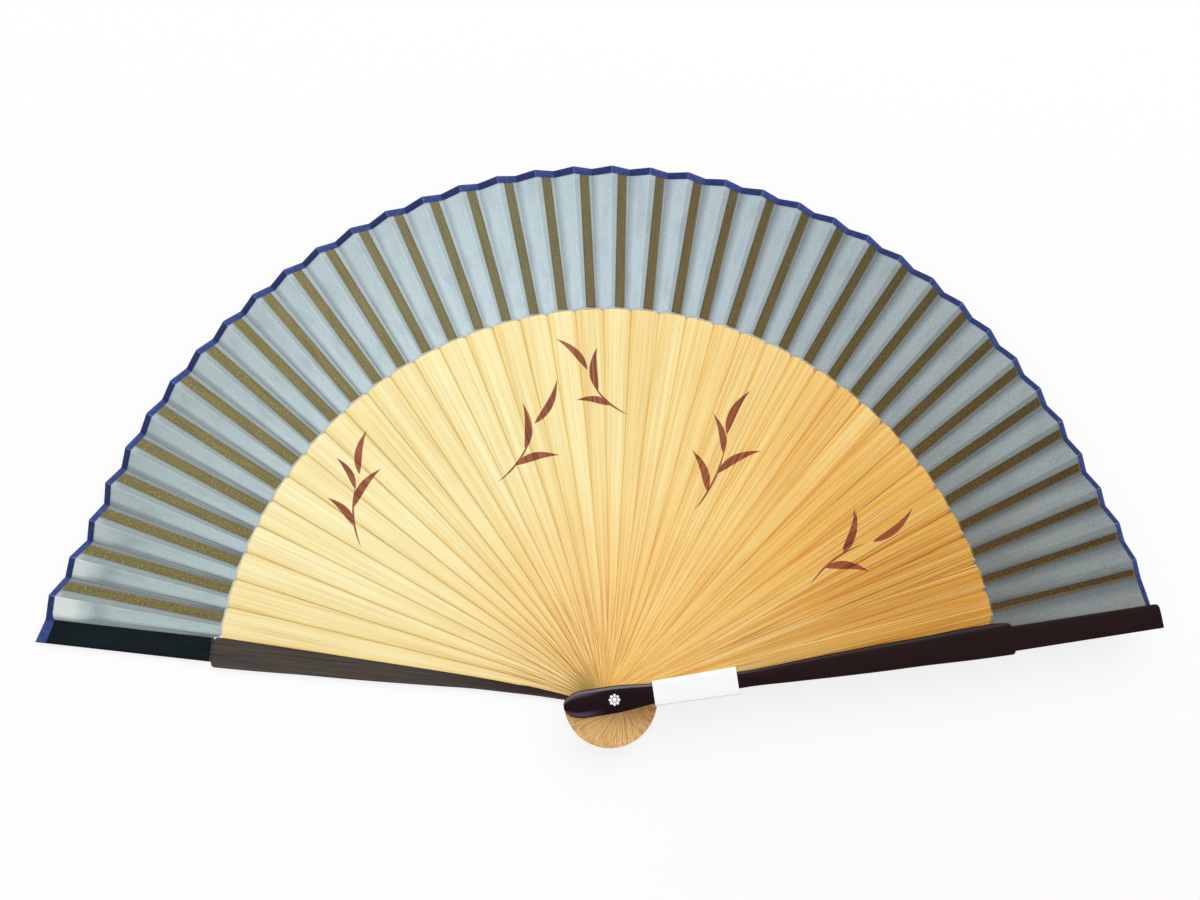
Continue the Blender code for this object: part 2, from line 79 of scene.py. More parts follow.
# Width of a stick from the pin (0) to its shoulder (1), as a share of its widest
OUTLINE = (
    (0.0, 0.58), (0.08, 0.47), (0.16, 0.37), (0.24, 0.335), (0.32, 0.355), (0.40, 0.412),
    (0.5, 0.502), (0.6, 0.600), (0.7, 0.698), (0.8, 0.797), (0.9, 0.897), (1.0, 1.0),
)
GUARD_OUTLINE = (
    (0.0, 0.627), (0.10, 0.562), (0.20, 0.480), (0.33, 0.475), (0.44, 0.580), (0.55, 0.692),
    (0.66, 0.784), (0.78, 0.850), (0.84, 0.908), (0.90, 0.957), (1.0, 1.0),
)
FRONT_OUTLINE = ((0.0, 0.79), (0.035, 0.735), (0.07, 0.640), (0.10, 0.576), *GUARD_OUTLINE[2:])
TAIL_WIDTH_SHARE = 0.73
FRONT_TAIL_WIDTH_SHARE = 0.79
# How much wider the ribs next to the guards are on the guard's side, from this radius on
GUARD_SIDE_WIDER = 1.17
WIDER_FROM = 0.03
TAIL_ROUND_SHARE = 0.42
TAIL_FLAT_SHARE = 0.2
# A rib's shoulder is a low arc, this long and this wide on each side
ARC_ALONG = 0.0009
ARC_ACROSS = 0.0028

# Leaf: the gap at its hem, its edge's radius, how much that rises beside the guards and over how many steps,
# the silk's height over a rib's middle, and its thickness
HEM_GAP = 0.0001
LEAF_RADIUS = 0.1857
BACK_RISE = 0.0073
BACK_RISE_STEPS = 3.0
SLOW_RISE = 0.0022
SLOW_RISE_STEPS = 8.0
FRONT_RISE = 0.0057
FRONT_RISE_STEPS = 4.4
SILK_LIFT = 0.00029
SILK_THICK = 0.0001

# Guards: tail, half widths below and above the step, radius of the step and the tip, and heights in the stack
GUARD_TAIL = 0.0172
FRONT_GUARD_HALF = 0.0059
BACK_GUARD_HALF = 0.00515
BACK_UPPER_HALF = 0.0042
FRONT_UPPER_HALF = 0.0043
FRONT_STEP = 0.1406
BACK_STEP = 0.1372
FRONT_TIP = 0.1946
BACK_TIP = 0.19655
GUARD_THICK = 0.0020
GUARD_STEP_DEPTH = 0.0004
GUARD_CORNER = 0.0013
FRONT_LOW = 0.01851
FAN_TOP = 0.02051
# How far the part past the step lies clockwise of the guard's line
FRONT_SHIFT = 0.0005
BACK_SHIFT = 0.0008
# How much shorter a guard's tip is on the leaf's side
BACK_TIP_CUT = 0.0021
FRONT_TIP_CUT = 0.0004
# How much lower the front guard's step is at its corner on the leaf's side, and the length of that slope
FRONT_LEAF_CORNER = 0.0010
LEAF_CORNER_RUN = 0.009

# How the blades and pleats tilt in degrees, the counter-clockwise edge high, past the radius TILT_START: at the
# shoulder beside the back guard and towards the front one, and at the leaf's edge
TILT_START = 0.015
BACK_TILT = 0.4
FRONT_TILT = 11.0
TIP_TILT = 33.5


# ---- plan helpers
def rib_steps(k):
    return END_STEP + k - 1


def rib_angle(k):
    return BACK_ANGLE - STEP * rib_steps(k)


def rib_height(k):
    return FIRST_RIB_HEIGHT + (k - 1) * RIB_PITCH


def tilt_share(k):
    """Ribs next to a guard tilt less."""
    return {1: 0.5, 2: 0.8, RIBS - 1: 0.75, RIBS: 0.5}.get(k, 1.0)


def smooth(value):
    value = np.clip(value, 0.0, 1.0)
    return value * value * (3 - 2 * value)


TILT_WOBBLE = np.random.default_rng(77).uniform(-0.4, 0.4, RIBS + 2)


def tilt_at(radius, k):
    """The slope across rib k at that radius."""
    radius = np.asarray(radius, float)
    shoulder = BACK_TILT + (FRONT_TILT - BACK_TILT) * smooth((k - 21) / 13) + TILT_WOBBLE[k]
    degrees = shoulder * smooth((radius - TILT_START) / (SHOULDER - TILT_START))
    past = np.clip((radius - SHOULDER) / (LEAF_RADIUS - SHOULDER), 0, 1)
    degrees = degrees + (TIP_TILT - shoulder) * past
    return np.tan(np.radians(degrees)) * tilt_share(k)


def edge_radius(steps):
    """The leaf's mean outer radius, that many steps from the back guard."""
    back = BACK_RISE * smooth(1 - steps / BACK_RISE_STEPS) + SLOW_RISE * max(0.0, 1 - steps / SLOW_RISE_STEPS)
    front = FRONT_RISE * smooth(1 - (STEPS - steps) / FRONT_RISE_STEPS)
    return float(LEAF_RADIUS + back + front)


def fold_reach(k):
    """How far the ridges stand out past the mean edge, and the valleys back from it."""
    if k < 5:
        return 0.0008
    return 0.00035 * float(smooth((17 - k) / 5))


def on_stick(angle, lateral, along, height):
    """Points given on a stick at that angle; lateral runs clockwise from its centre line."""
    turn = math.radians(angle)
    lateral, along, height = np.broadcast_arrays(*(np.asarray(v, float) for v in (lateral, along, height)))
    x = along * math.cos(turn) + lateral * math.sin(turn)
    y = along * math.sin(turn) - lateral * math.cos(turn)
    return np.stack([x, y, height], axis=-1)


def monotone(stations):
    """A smooth curve through (x, y) stations that never overshoots them."""
    x, y = (np.array(v, float) for v in zip(*stations))
    gap = np.diff(x)
    slope = np.diff(y) / gap
    tangent = np.concatenate([[slope[0]], (slope[:-1] + slope[1:]) / 2, [slope[-1]]])
    for i, s in enumerate(slope):
        if i and slope[i - 1] * s <= 0:
            tangent[i] = 0
        if abs(s) > 0:
            size = math.hypot(tangent[i] / s, tangent[i + 1] / s)
            if size > 3:
                tangent[i:i + 2] *= 3 / size

    def value(at):
        at = np.clip(np.asarray(at, float), x[0], x[-1])
        i = np.clip(np.searchsorted(x, at) - 1, 0, len(gap) - 1)
        t = (at - x[i]) / gap[i]
        return (
            y[i] * (1 + 2 * t) * (1 - t) ** 2 + gap[i] * tangent[i] * t * (1 - t) ** 2
            + y[i + 1] * t * t * (3 - 2 * t) + gap[i] * tangent[i + 1] * t * t * (t - 1)
        )

    return value


BLADE_WIDTH = monotone(OUTLINE)
GUARD_WIDTH = monotone(GUARD_OUTLINE)
FRONT_WIDTH = monotone(FRONT_OUTLINE)


def stick_half(along, blade_half, width, tail, shoulder, run, reach, tail_share=TAIL_WIDTH_SHARE):
    """Half width of a stick from its tail to the top of its shoulder's corner, which runs `run` along the
    stick and `reach` across it."""
    along = np.asarray(along, float)
    tail_half = blade_half * tail_share
    tail_reach = tail * TAIL_ROUND_SHARE
    first = math.asin(TAIL_FLAT_SHARE)
    bulge = np.clip((tail - tail_reach + along) / -tail_reach, 0, 1) * math.cos(first)
    round_half = tail_half * np.sqrt(1 - bulge ** 2)
    inward = np.clip(-along / (tail - tail_reach), 0, 1)
    neck_half = blade_half * float(width(0.0))
    straight = neck_half + (tail_half - neck_half) * smooth(inward)
    blade = width(along / shoulder) * blade_half
    cut = np.clip((along - shoulder + run) / run, 0, 1)
    blade = blade - reach * (1 - np.sqrt(1 - cut ** 2))
    return np.where(along < -(tail - tail_reach), round_half, np.where(along < 0, straight, blade))


def stick_stations(tail, shoulder, run, counts):
    """Places along a stick from its tail to its shoulder, closer together round both."""
    turn = np.linspace(math.asin(TAIL_FLAT_SHARE), math.pi / 2, counts[0])
    rounded = -tail + tail * TAIL_ROUND_SHARE * (1 - np.cos(turn) / math.cos(turn[0]))
    blade = np.linspace(rounded[-1], shoulder - run, counts[1])[1:]
    corner = shoulder - run * (1 - np.sin(np.linspace(0, math.pi / 2, counts[2])))[1:]
    return np.concatenate([rounded, blade, corner])


# ---- mesh helpers
def make_object(name, points, faces, materials, face_material=None, smooth=True):
    mesh = bpy.data.meshes.new(name)
    mesh.from_pydata([tuple(p) for p in points], [], [tuple(f) for f in faces])
    for surface in materials:
        mesh.materials.append(surface)
    if face_material is not None:
        mesh.polygons.foreach_set("material_index", np.asarray(face_material, np.int32))
    mesh.polygons.foreach_set("use_smooth", np.full(len(mesh.polygons), smooth))
    mesh.validate()
    mesh.update()
    obj = bpy.data.objects.new(name, mesh)
    bpy.context.scene.collection.objects.link(obj)
    return obj


def add_values(obj, name, values):
    """An attribute from one number a vertex."""
    layer = obj.data.attributes.new(name, "FLOAT", "POINT")
    layer.data.foreach_set("value", np.asarray(values, np.float32))


def add_uv(obj, name, values):
    """A UV map from one pair of numbers a vertex."""
    layer = obj.data.uv_layers.new(name=name)
    loops = np.zeros(len(obj.data.loops), np.int32)
    obj.data.loops.foreach_get("vertex_index", loops)
    layer.data.foreach_set("uv", np.asarray(values, np.float32)[loops].ravel())


def grid_faces(rows, columns, offset=0, flip=False):
    i, j = np.meshgrid(np.arange(rows - 1), np.arange(columns - 1), indexing="ij")
    a = offset + i * columns + j
    quad = np.stack([a, a + 1, a + columns + 1, a + columns], axis=-1).reshape(-1, 4)
    return quad[:, ::-1] if flip else quad


def tube_faces(rings, sides, closed=False):
    """Faces round rings of points. Both ends are capped, unless the last ring joins the first."""
    faces = []
    for r in range(rings if closed else rings - 1):
        a, b = r * sides, (r + 1) % rings * sides
        for i in range(sides):
            j = (i + 1) % sides
            faces.append((a + i, a + j, b + j, b + i))
    if not closed:
        faces += [tuple(range(sides))[::-1], tuple(range((rings - 1) * sides, rings * sides))]
    return faces


def sharpen(obj, degrees):
    obj.data.set_sharp_from_angle(angle=math.radians(degrees))


# ---- node helpers
def linear(r, g, b):
    """An 8-bit display colour as a linear one."""
    shares = (c / 255 for c in (r, g, b))
    return tuple(c / 12.92 if c <= 0.04045 else ((c + 0.055) / 1.055) ** 2.4 for c in shares)


WHITE = (255, 255, 255)
# The colour sockets of a Mix node
MIX_FIRST, MIX_SECOND, MIX_RESULT = 6, 7, 2


def give(tree, socket, value):
    """Links a socket to another, or sets it. A colour is an 8-bit display colour."""
    if isinstance(value, bpy.types.NodeSocket):
        tree.links.new(value, socket)
    else:
        socket.default_value = (*linear(*value), 1.0) if socket.type == "RGBA" else value


def add_node(tree, kind, *values, **settings):
    """A shader node with those settings, and those values in its first sockets."""
    node = tree.nodes.new("ShaderNode" + kind)
    for key, value in settings.items():
        setattr(node, key, value)
    for socket, value in zip(node.inputs, values):
        give(tree, socket, value)
    return node


class Surface:
    """A material with a Principled shader, short names for the nodes it needs, and its colour so far."""

    def __init__(self, name, roughness, metallic=0.0, **settings):
        self.material = bpy.data.materials.new(name)
        self.material.use_nodes = True
        self.tree = self.material.node_tree
        self.shader = self.tree.nodes["Principled BSDF"]
        for key, value in (("Roughness", roughness), ("Metallic", metallic), *settings.items()):
            self.shader.inputs[key.replace("_", " ")].default_value = value

    def node(self, kind, *values, **settings):
        return add_node(self.tree, kind, *values, **settings)

    def math(self, operation, *values, clamp=False):
        return self.node("Math", *values, operation=operation, use_clamp=clamp).outputs[0]

    def times(self, first, *others):
        for other in others:
            first = self.math("MULTIPLY", first, other)
        return first

    def plus(self, first, second):
        return self.math("ADD", first, second)

    def minus(self, first, second):
        return self.math("SUBTRACT", first, second)

    def most(self, first, second):
        return self.math("MAXIMUM", first, second)

    def size(self, value):
        return self.math("ABSOLUTE", value)

    def uv(self, name):
        return self.node("UVMap", uv_map=name).outputs["UV"]

    def split(self, vector):
        return self.node("SeparateXYZ", vector).outputs[:3]

    def joined(self, x, y, z=0.0):
        return self.node("CombineXYZ", x, y, z).outputs[0]

    def position(self):
        return self.node("TexCoord").outputs["Object"]

    def noise(self, vector, scale, detail, roughness):
        return self.node("TexNoise", vector, 0.0, scale, detail, roughness).outputs["Fac"]

    def streaks(self, u, across, v, along, detail, roughness, seed=0.0):
        """Noise stretched to `across` and `along` waves a metre."""
        return self.noise(self.joined(self.times(u, across), self.times(v, along), seed), 1.0, detail, roughness)

    def ramp(self, factor, *stops):
        """Colours between (place, colour) stops. A colour of one number is a linear grey."""
        node = self.node("ValToRGB", factor)
        elements = node.color_ramp.elements
        while len(elements) < len(stops):
            elements.new(0.5)
        for element, (place, colour) in zip(elements, stops):
            element.position = place
            element.color = (*(linear(*colour) if isinstance(colour, tuple) else (colour,) * 3), 1.0)
        return node.outputs[0]

    def number(self, factor, stops, low=0.0, high=1.0):
        """A number between low and high that runs through (place, number) stops."""
        share = self.ramp(factor, *((place, (v - low) / (high - low)) for place, v in stops))
        return share if (low, high) == (0.0, 1.0) else self.math("MULTIPLY_ADD", share, high - low, low)

    def range(self, value, low, high, to_low=0.0, to_high=1.0):
        """A smooth step from low to high."""
        return self.node("MapRange", value, low, high, to_low, to_high, interpolation_type="SMOOTHSTEP").outputs[0]

    def mix(self, factor, first, second, blend="MIX"):
        node = self.node("Mix", factor, data_type="RGBA", blend_type=blend)
        give(self.tree, node.inputs[MIX_FIRST], first)
        give(self.tree, node.inputs[MIX_SECOND], second)
        return node.outputs[MIX_RESULT]

    def paint(self, factor, tint, strength=None, blend="MIX"):
        if strength is not None:
            factor = self.times(factor, strength)
        self.colour = self.mix(factor, self.colour, tint, blend)

    def shade(self, factor, tint, strength=None):
        self.paint(factor, tint, strength, "MULTIPLY")

    def attribute(self, name):
        return self.node("Attribute", attribute_name=name).outputs["Fac"]

    def bump(self, height, distance, strength):
        node = self.node("Bump", strength, distance)
        give(self.tree, node.inputs["Height"], height)
        self.tree.links.new(node.outputs[0], self.shader.inputs["Normal"])

    def finish(self, roughness=None):
        give(self.tree, self.shader.inputs["Base Color"], self.colour)
        if roughness is not None:
            give(self.tree, self.shader.inputs["Roughness"], roughness)
        return self.material


# ---- painted sprigs
# Each sprig: its stem's foot as (angle, radius) on the fan, its heading in degrees, its length and bend, and
# its leaves as (share along the stem, turn from the stem, length, width)
SPRIGS = (
    ((149, 0.100), 92, 0.026, 0.10, ((0.30, 42, 0.014, 0.0028), (0.55, -38, 0.017, 0.0030), (0.80, 30, 0.013, 0.0024),
                                     (0.99, -12, 0.016, 0.0028))),
    ((118, 0.084), 58, 0.025, -0.10, ((0.35, -46, 0.016, 0.0030), (0.60, 36, 0.017, 0.0028), (0.98, 6, 0.018, 0.0028))),
    ((86, 0.098), 132, 0.022, 0.12, ((0.30, 40, 0.013, 0.0026), (0.62, -42, 0.016, 0.0030), (0.98, 4, 0.016, 0.0026))),
    ((66, 0.070), 66, 0.030, -0.08, ((0.28, 44, 0.016, 0.0030), (0.52, -40, 0.018, 0.0030), (0.76, 38, 0.015, 0.0026),
                                     (0.99, -6, 0.018, 0.0030))),
    ((29, 0.078), 34, 0.028, 0.10, ((0.30, -40, 0.016, 0.0030), (0.58, 40, 0.017, 0.0030), (0.98, 6, 0.019, 0.0028))),
)
STEM_WIDTH = 0.0009
PAINT_EDGE = 0.00016
# Under 1, a stroke is widest before its middle
STROKE_SWELL = 0.72
STROKE_BEND = 0.10


def heading_of(degrees):
    return np.array([math.cos(math.radians(degrees)), math.sin(math.radians(degrees))])


def sprig_strokes(sprig):
    """The sprig's strokes as (x, y, heading, length, width, bend)."""
    (angle, radius), heading, length, bend, leaves = sprig
    foot, ahead = radius * heading_of(angle), heading_of(heading)
    side = np.array([-ahead[1], ahead[0]])
    strokes = [(foot[0], foot[1], heading, length, STEM_WIDTH, bend)]
    for share, turn, size, width in leaves:
        at = foot + ahead * length * share + side * bend * length * 4 * share * (1 - share)
        strokes.append((at[0], at[1], heading + turn, size, width, math.copysign(STROKE_BEND, -turn)))
    return strokes


def stroke_mask(s, x, y, stroke):
    """1 inside a bent, pointed brush stroke."""
    at_x, at_y, heading, length, width, bend = stroke
    cos, sin = heading_of(heading)
    off_x, off_y = s.minus(x, at_x), s.minus(y, at_y)
    along = s.math("MULTIPLY_ADD", off_x, cos / length, s.times(off_y, sin / length))
    along = s.math("MINIMUM", s.most(along, 0.0), 1.0)
    across = s.math("MULTIPLY_ADD", off_y, cos, s.times(off_x, -sin))
    bow = s.times(along, s.minus(1.0, along), 4 * bend * length)
    away = s.size(s.minus(across, bow))
    swell = s.math("SINE", s.times(s.math("POWER", along, STROKE_SWELL), math.pi))
    inside = s.minus(s.times(swell, width / 2), away)
    return s.math("MULTIPLY", inside, 1 / PAINT_EDGE, clamp=True)


# ---- materials
# Bamboo's colour round the fan, from the back guard to the front one: on the blades and close to the pin. The change
# from pale to orange is partly the bamboo's own colour and partly painted light, paler where the blades face the lamp
# and darker where they face away.
BAMBOO_PLACES = (0.02, 0.18, 0.40, 0.55, 0.70, 0.83, 0.95)
BAMBOO_BASE_AND_LIGHT = (
    (255, 246, 192), (255, 248, 194), (255, 248, 192), (254, 238, 174),
    (252, 219, 138), (248, 205, 108), (220, 168, 70),
)
BAMBOO_NEAR_PIN_AND_LIGHT = (
    (255, 240, 182), (255, 228, 158), (255, 224, 152), (253, 217, 138),
    (252, 219, 136), (247, 209, 124), (236, 200, 118),
)


def bamboo(name, strokes):
    """Split bamboo with fine lengthwise fibres. UV map "grain" holds metres across and along the rib, "plan"
    the place on the open fan; attribute "across" runs from -1 to 1 between the long edges, and "round" from 0
    at the back guard to 1 at the front one."""
    s = Surface(name, 0.46, Specular_IOR_Level=0.3)
    across_m, along_m, _ = s.split(s.uv("grain"))
    round_fan = s.attribute("round")
    fine = s.streaks(across_m, 4200.0, along_m, 14.0, 3.0, 0.6)
    broad = s.streaks(across_m, 1100.0, along_m, 5.0, 2.0, 0.5, 3.7)
    shine = s.streaks(across_m, 3400.0, along_m, 9.0, 2.0, 0.5, 6.3)
    cloudy = s.streaks(across_m, 160.0, along_m, 22.0, 2.0, 0.5, 9.1)
    # base colour round the fan, partly painted light
    s.colour = s.ramp(round_fan, *zip(BAMBOO_PLACES, BAMBOO_BASE_AND_LIGHT))
    near_pin = s.ramp(round_fan, *zip(BAMBOO_PLACES, BAMBOO_NEAR_PIN_AND_LIGHT))
    s.paint(s.range(along_m, 0.095, 0.030), near_pin)
    contrast = s.most(s.range(round_fan, 0.35, 0.9, 0.42, 1.0), s.range(along_m, 0.060, 0.025))
    band = s.times(s.range(broad, 0.36, 0.58, 1.0, 0.0), contrast)
    s.shade(band, (236, 208, 160), 0.60)
    threads = s.times(s.range(fine, 0.34, 0.50, 1.0, 0.0), contrast)
    s.shade(threads, (206, 168, 106), 0.90)
    # pale streaks, partly the fibres' own colour and partly painted highlight along the blades
    pale_fibres_and_glints = s.times(s.range(shine, 0.55, 0.70), contrast)
    s.paint(pale_fibres_and_glints, (255, 236, 184), 0.75)
    tone = s.attribute("tone")
    s.shade(tone, (246, 224, 190), 0.4)
    s.shade(s.range(cloudy, 0.40, 0.7, 0.0, 0.25), (246, 224, 184))
    across = s.attribute("across")
    # painted shade: darker towards both long edges, where the blades meet and overlap
    edge = s.size(across)
    s.shade(s.range(edge, 0.35, 0.95, 0.0, 0.60), (251, 238, 204))
    s.paint(s.range(across, -0.94, -0.985, 0.0, 0.35), (206, 148, 74))
    # painted shadow: olive-dark on the ribs near the pin, beside the front guard's tail, on the back guard's side
    pin_shadow = s.times(s.range(along_m, 0.018, 0.008), s.range(round_fan, 0.5, 0.15))
    s.paint(pin_shadow, (168, 148, 70), 0.65)
    tail = s.range(along_m, 0.003, -0.004)
    # the tails: fibre streaks in browns, darker towards the counter-clockwise edge, partly the cut edges' own brown and
    # partly painted shade where the tails lie stacked, with a paler band beside it
    streak = s.ramp(fine, (0.36, (178, 114, 50)), (0.47, (228, 172, 98)), (0.58, (252, 220, 156)))
    shaded_tail = s.mix(s.range(across, -0.55, -0.95, 0.0, 0.8), streak, (158, 100, 48))
    shaded_tail = s.mix(s.range(s.size(s.minus(across, -0.35)), 0.22, 0.05, 0.0, 0.6), shaded_tail, (242, 200, 142))
    s.paint(tail, shaded_tail)
    if strokes:
        x, y, _ = s.split(s.uv("plan"))
        paint = stroke_mask(s, x, y, strokes[0])
        for stroke in strokes[1:]:
            paint = s.most(paint, stroke_mask(s, x, y, stroke))
        worn = s.times(paint, s.range(fine, 0.25, 0.55, 0.78, 0.97))
        tint = s.mix(s.range(broad, 0.38, 0.60), (112, 38, 18), (156, 64, 30))
        s.paint(worn, tint)
    s.bump(s.plus(fine, s.times(broad, 1.5)), 0.00010, 0.5)
    return s.finish(s.range(fine, 0.3, 0.7, 0.54, 0.42))


# How the silk and the strips seen through it go round the fan, from the back guard to the front one. The silk's
# darkening towards the front guard is painted shade; the strips' is partly their own colour and partly painted shade.
SILK_PLACES = (0.03, 0.16, 0.28, 0.42, 0.56, 0.70, 0.84, 0.97)
SILK_BASE_AND_SHADE = (
    (194, 213, 214), (202, 220, 222), (214, 232, 237), (215, 234, 241),
    (200, 218, 226), (171, 185, 190), (155, 167, 168), (128, 137, 136),
)
STRIP_BASE_AND_SHADE = (
    (118, 110, 70), (130, 125, 82), (136, 130, 88), (130, 126, 92),
    (114, 100, 62), (100, 88, 48), (94, 76, 36), (78, 58, 20),
)
# Half the strip's width and its middle's way from the rib's middle, clockwise, both in millimetres
STRIP_HALF = (1.72, 1.92, 1.76, 1.68, 1.74, 1.76, 1.76, 1.56)
STRIP_SHIFT = (0.35, -0.05, -0.25, -0.10, 0.30, 0.05, 0.05, 0.95)
# The shade past a valley: how dark it is, and the places where it is full and where it ends
VALLEY_DARK = (0.66, 0.44, 0.34, 0.28, 0.47, 0.62, 0.60, 0.70)
VALLEY_FULL = (0.27, 0.29, 0.28, 0.23, 0.24, 0.21, 0.21, 0.26)
VALLEY_END = (0.47, 0.42, 0.40, 0.40, 0.46, 0.45, 0.43, 0.54)
# How deep the painted shade is on the silk between a ridge and the strip
RIDGE_SHADE = (0.52, 0.46, 0.42, 0.30, 0.31, 0.34, 0.42, 0.15)


def silk():
    """Sheer plain-weave silk. UV map "fold" holds the place across the pleat in rib steps and the radius in
    metres; "cloth" holds metres across and along, "rim" the distances from the hem and from the outer edge;
    attribute "round" runs from 0 at the back guard to 1 at the front one."""
    s = Surface("sheer_silk", 0.62, Alpha=0.76, Sheen_Weight=0.2, Sheen_Roughness=0.5, Specular_IOR_Level=0.2)
    place, radius, _ = s.split(s.uv("fold"))
    from_hem, from_edge, _ = s.split(s.uv("rim"))
    round_fan = s.attribute("round")
    u, v, _ = s.split(s.uv("cloth"))
    threads = s.streaks(u, 900.0, v, 3600.0, 2.0, 0.6)
    weft = s.streaks(u, 3600.0, v, 900.0, 2.0, 0.6, 5.0)
    weave = s.times(s.plus(threads, weft), 0.5)
    clouds = s.streaks(u, 190.0, v, 80.0, 3.0, 0.55, 2.0)
    # base colour round the fan, with painted shade towards the front guard
    s.colour = s.ramp(round_fan, *zip(SILK_PLACES, SILK_BASE_AND_SHADE))
    s.shade(s.range(clouds, 0.30, 0.55, 0.55, 0.0), (226, 230, 232))
    s.shade(s.range(weave, 0.40, 0.60, 0.35, 0.0), (206, 214, 218))
    s.paint(s.range(weave, 0.52, 0.68, 0.0, 0.25), (232, 240, 244))
    # q runs on past the strip and the valley to the next ridge
    q = s.plus(place, s.math("LESS_THAN", place, -RIDGE_SHARE))
    dark, full, end = (
        s.number(round_fan, zip(SILK_PLACES, table)) for table in (VALLEY_DARK, VALLEY_FULL, VALLEY_END)
    )
    # painted shade past each valley, deeper near the hem on the back guard's side
    beside = s.times(s.range(q, end, full), s.range(q, 0.09, 0.15))
    hem_shade_back = s.times(s.range(from_hem, 0.014, 0.003), s.range(round_fan, 0.30, 0.10, 0.0, 0.18))
    s.paint(s.times(beside, s.plus(dark, hem_shade_back)), (70, 82, 86))
    # painted shade near the hem on the front guard's side, below the blades' shoulders
    hem_shade_front = s.times(s.range(from_hem, 0.036, 0.0), s.range(round_fan, 0.66, 0.94, 0.0, 0.85))
    s.shade(hem_shade_front, (208, 204, 198))
    # painted shade between each ridge and its strip
    ridge_shade = s.number(round_fan, zip(SILK_PLACES, RIDGE_SHADE))
    s.paint(s.times(s.range(q, 0.0, -0.05), ridge_shade), (96, 104, 100))
    # painted shade: a dark crease line just past each valley, at both ends of the fan, strongest near the hem
    near_valley = s.size(s.minus(q, s.range(round_fan, 0.30, 0.04, 0.25, 0.335)))
    ends = s.most(s.range(round_fan, 0.38, 0.28), s.range(round_fan, 0.74, 0.82))
    depth = s.times(ends, s.range(from_hem, 0.040, 0.012, 0.15, 1.0))
    line = s.times(s.range(near_valley, 0.022, 0.006), depth)
    s.paint(line, (46, 58, 72), 0.6)
    # near the outer edge on the back guard's side: painted light of the table showing through the silk, and past it a
    # soft band of painted shade
    ragged = s.math("MULTIPLY_ADD", clouds, 0.0090, -0.0045)
    inwards = s.plus(s.plus(from_edge, ragged), s.range(round_fan, 0.025, 0.045, 0.0, 0.0035))
    panel = s.times(s.range(round_fan, 0.100, 0.030, 0.0, 1.0), s.range(q, 0.22, 0.36))
    white = s.times(s.range(inwards, 0.0150, 0.0075), panel)
    s.paint(white, (244, 250, 247), 0.80)
    shade = s.times(s.range(inwards, 0.0130, 0.0165), s.range(inwards, 0.0230, 0.0170))
    s.paint(s.times(shade, panel), (90, 104, 108), 0.30)
    # painted light: pale corners just inside the tape, beside each ridge on the strip's side
    corner = s.times(s.range(q, -0.13, -0.20), s.range(from_edge, 0.0044, 0.0032))
    corner = s.times(corner, s.range(round_fan, 0.80, 0.65, 0.0, 0.35))
    s.paint(corner, (214, 216, 222))
    reach = s.times(place, radius, STEP_RADIANS)
    blur = s.range(round_fan, 0.10, 0.45, 0.00050, 0.00022)
    shift = s.math("MULTIPLY_ADD", s.number(round_fan, zip(SILK_PLACES, STRIP_SHIFT), -1.0, 1.0), 0.001, 0.0)
    half = s.times(s.number(round_fan, zip(SILK_PLACES, STRIP_HALF), 1.0, 2.0), 0.001)
    off_strip = s.size(s.minus(reach, shift))
    on_strip = s.range(off_strip, s.plus(half, blur), s.minus(half, blur))
    gold = s.streaks(u, 3000.0, v, 1100.0, 2.0, 0.7, 8.0)
    lines = s.streaks(u, 4200.0, v, 60.0, 2.0, 0.6, 3.0)
    # the strips' colour round the fan, partly their own and partly painted shade
    stripe = s.ramp(round_fan, *zip(SILK_PLACES, STRIP_BASE_AND_SHADE))
    glow = s.times(s.range(gold, 0.50, 0.68), s.range(round_fan, 0.55, 0.15, 0.25, 0.9))
    stripe = s.mix(glow, stripe, (196, 170, 92))
    stripe = s.mix(s.range(lines, 0.36, 0.52, 0.55, 0.0), stripe, (190, 180, 160), "MULTIPLY")
    stripe = s.mix(s.range(off_strip, 0.0010, 0.0016, 0.0, 0.45), stripe, (176, 166, 150), "MULTIPLY")
    s.paint(on_strip, stripe)
    frayed = s.streaks(u, 2600.0, v, 500.0, 2.0, 0.7, 1.0)
    fringe = s.math("MULTIPLY_ADD", frayed, 0.0009, s.range(q, 0.15, -0.25, 0.0, 0.00022))
    hem = s.range(s.minus(from_hem, fringe), 0.00006, -0.00012)
    hem = s.times(hem, s.range(round_fan, 0.80, 0.62, 0.15, 0.9))
    s.paint(hem, (242, 238, 232))
    s.bump(weave, 0.00008, 0.5)
    return s.finish()


def glued_silk():
    """The silk where it is pasted over a guard's lacquer."""
    s = Surface("silk_on_guard", 0.6, Specular_IOR_Level=0.08)
    u, v, _ = s.split(s.uv("cloth"))
    weave = s.streaks(u, 2600.0, v, 1400.0, 3.0, 0.65)
    clouds = s.streaks(u, 240.0, v, 60.0, 2.0, 0.5)
    s.colour = s.ramp(clouds, (0.3, (5, 14, 19)), (0.7, (14, 26, 31)))
    s.paint(s.range(weave, 0.50, 0.66, 0.0, 0.35), (36, 50, 54))
    s.bump(weave, 0.00008, 0.6)
    return s.finish()


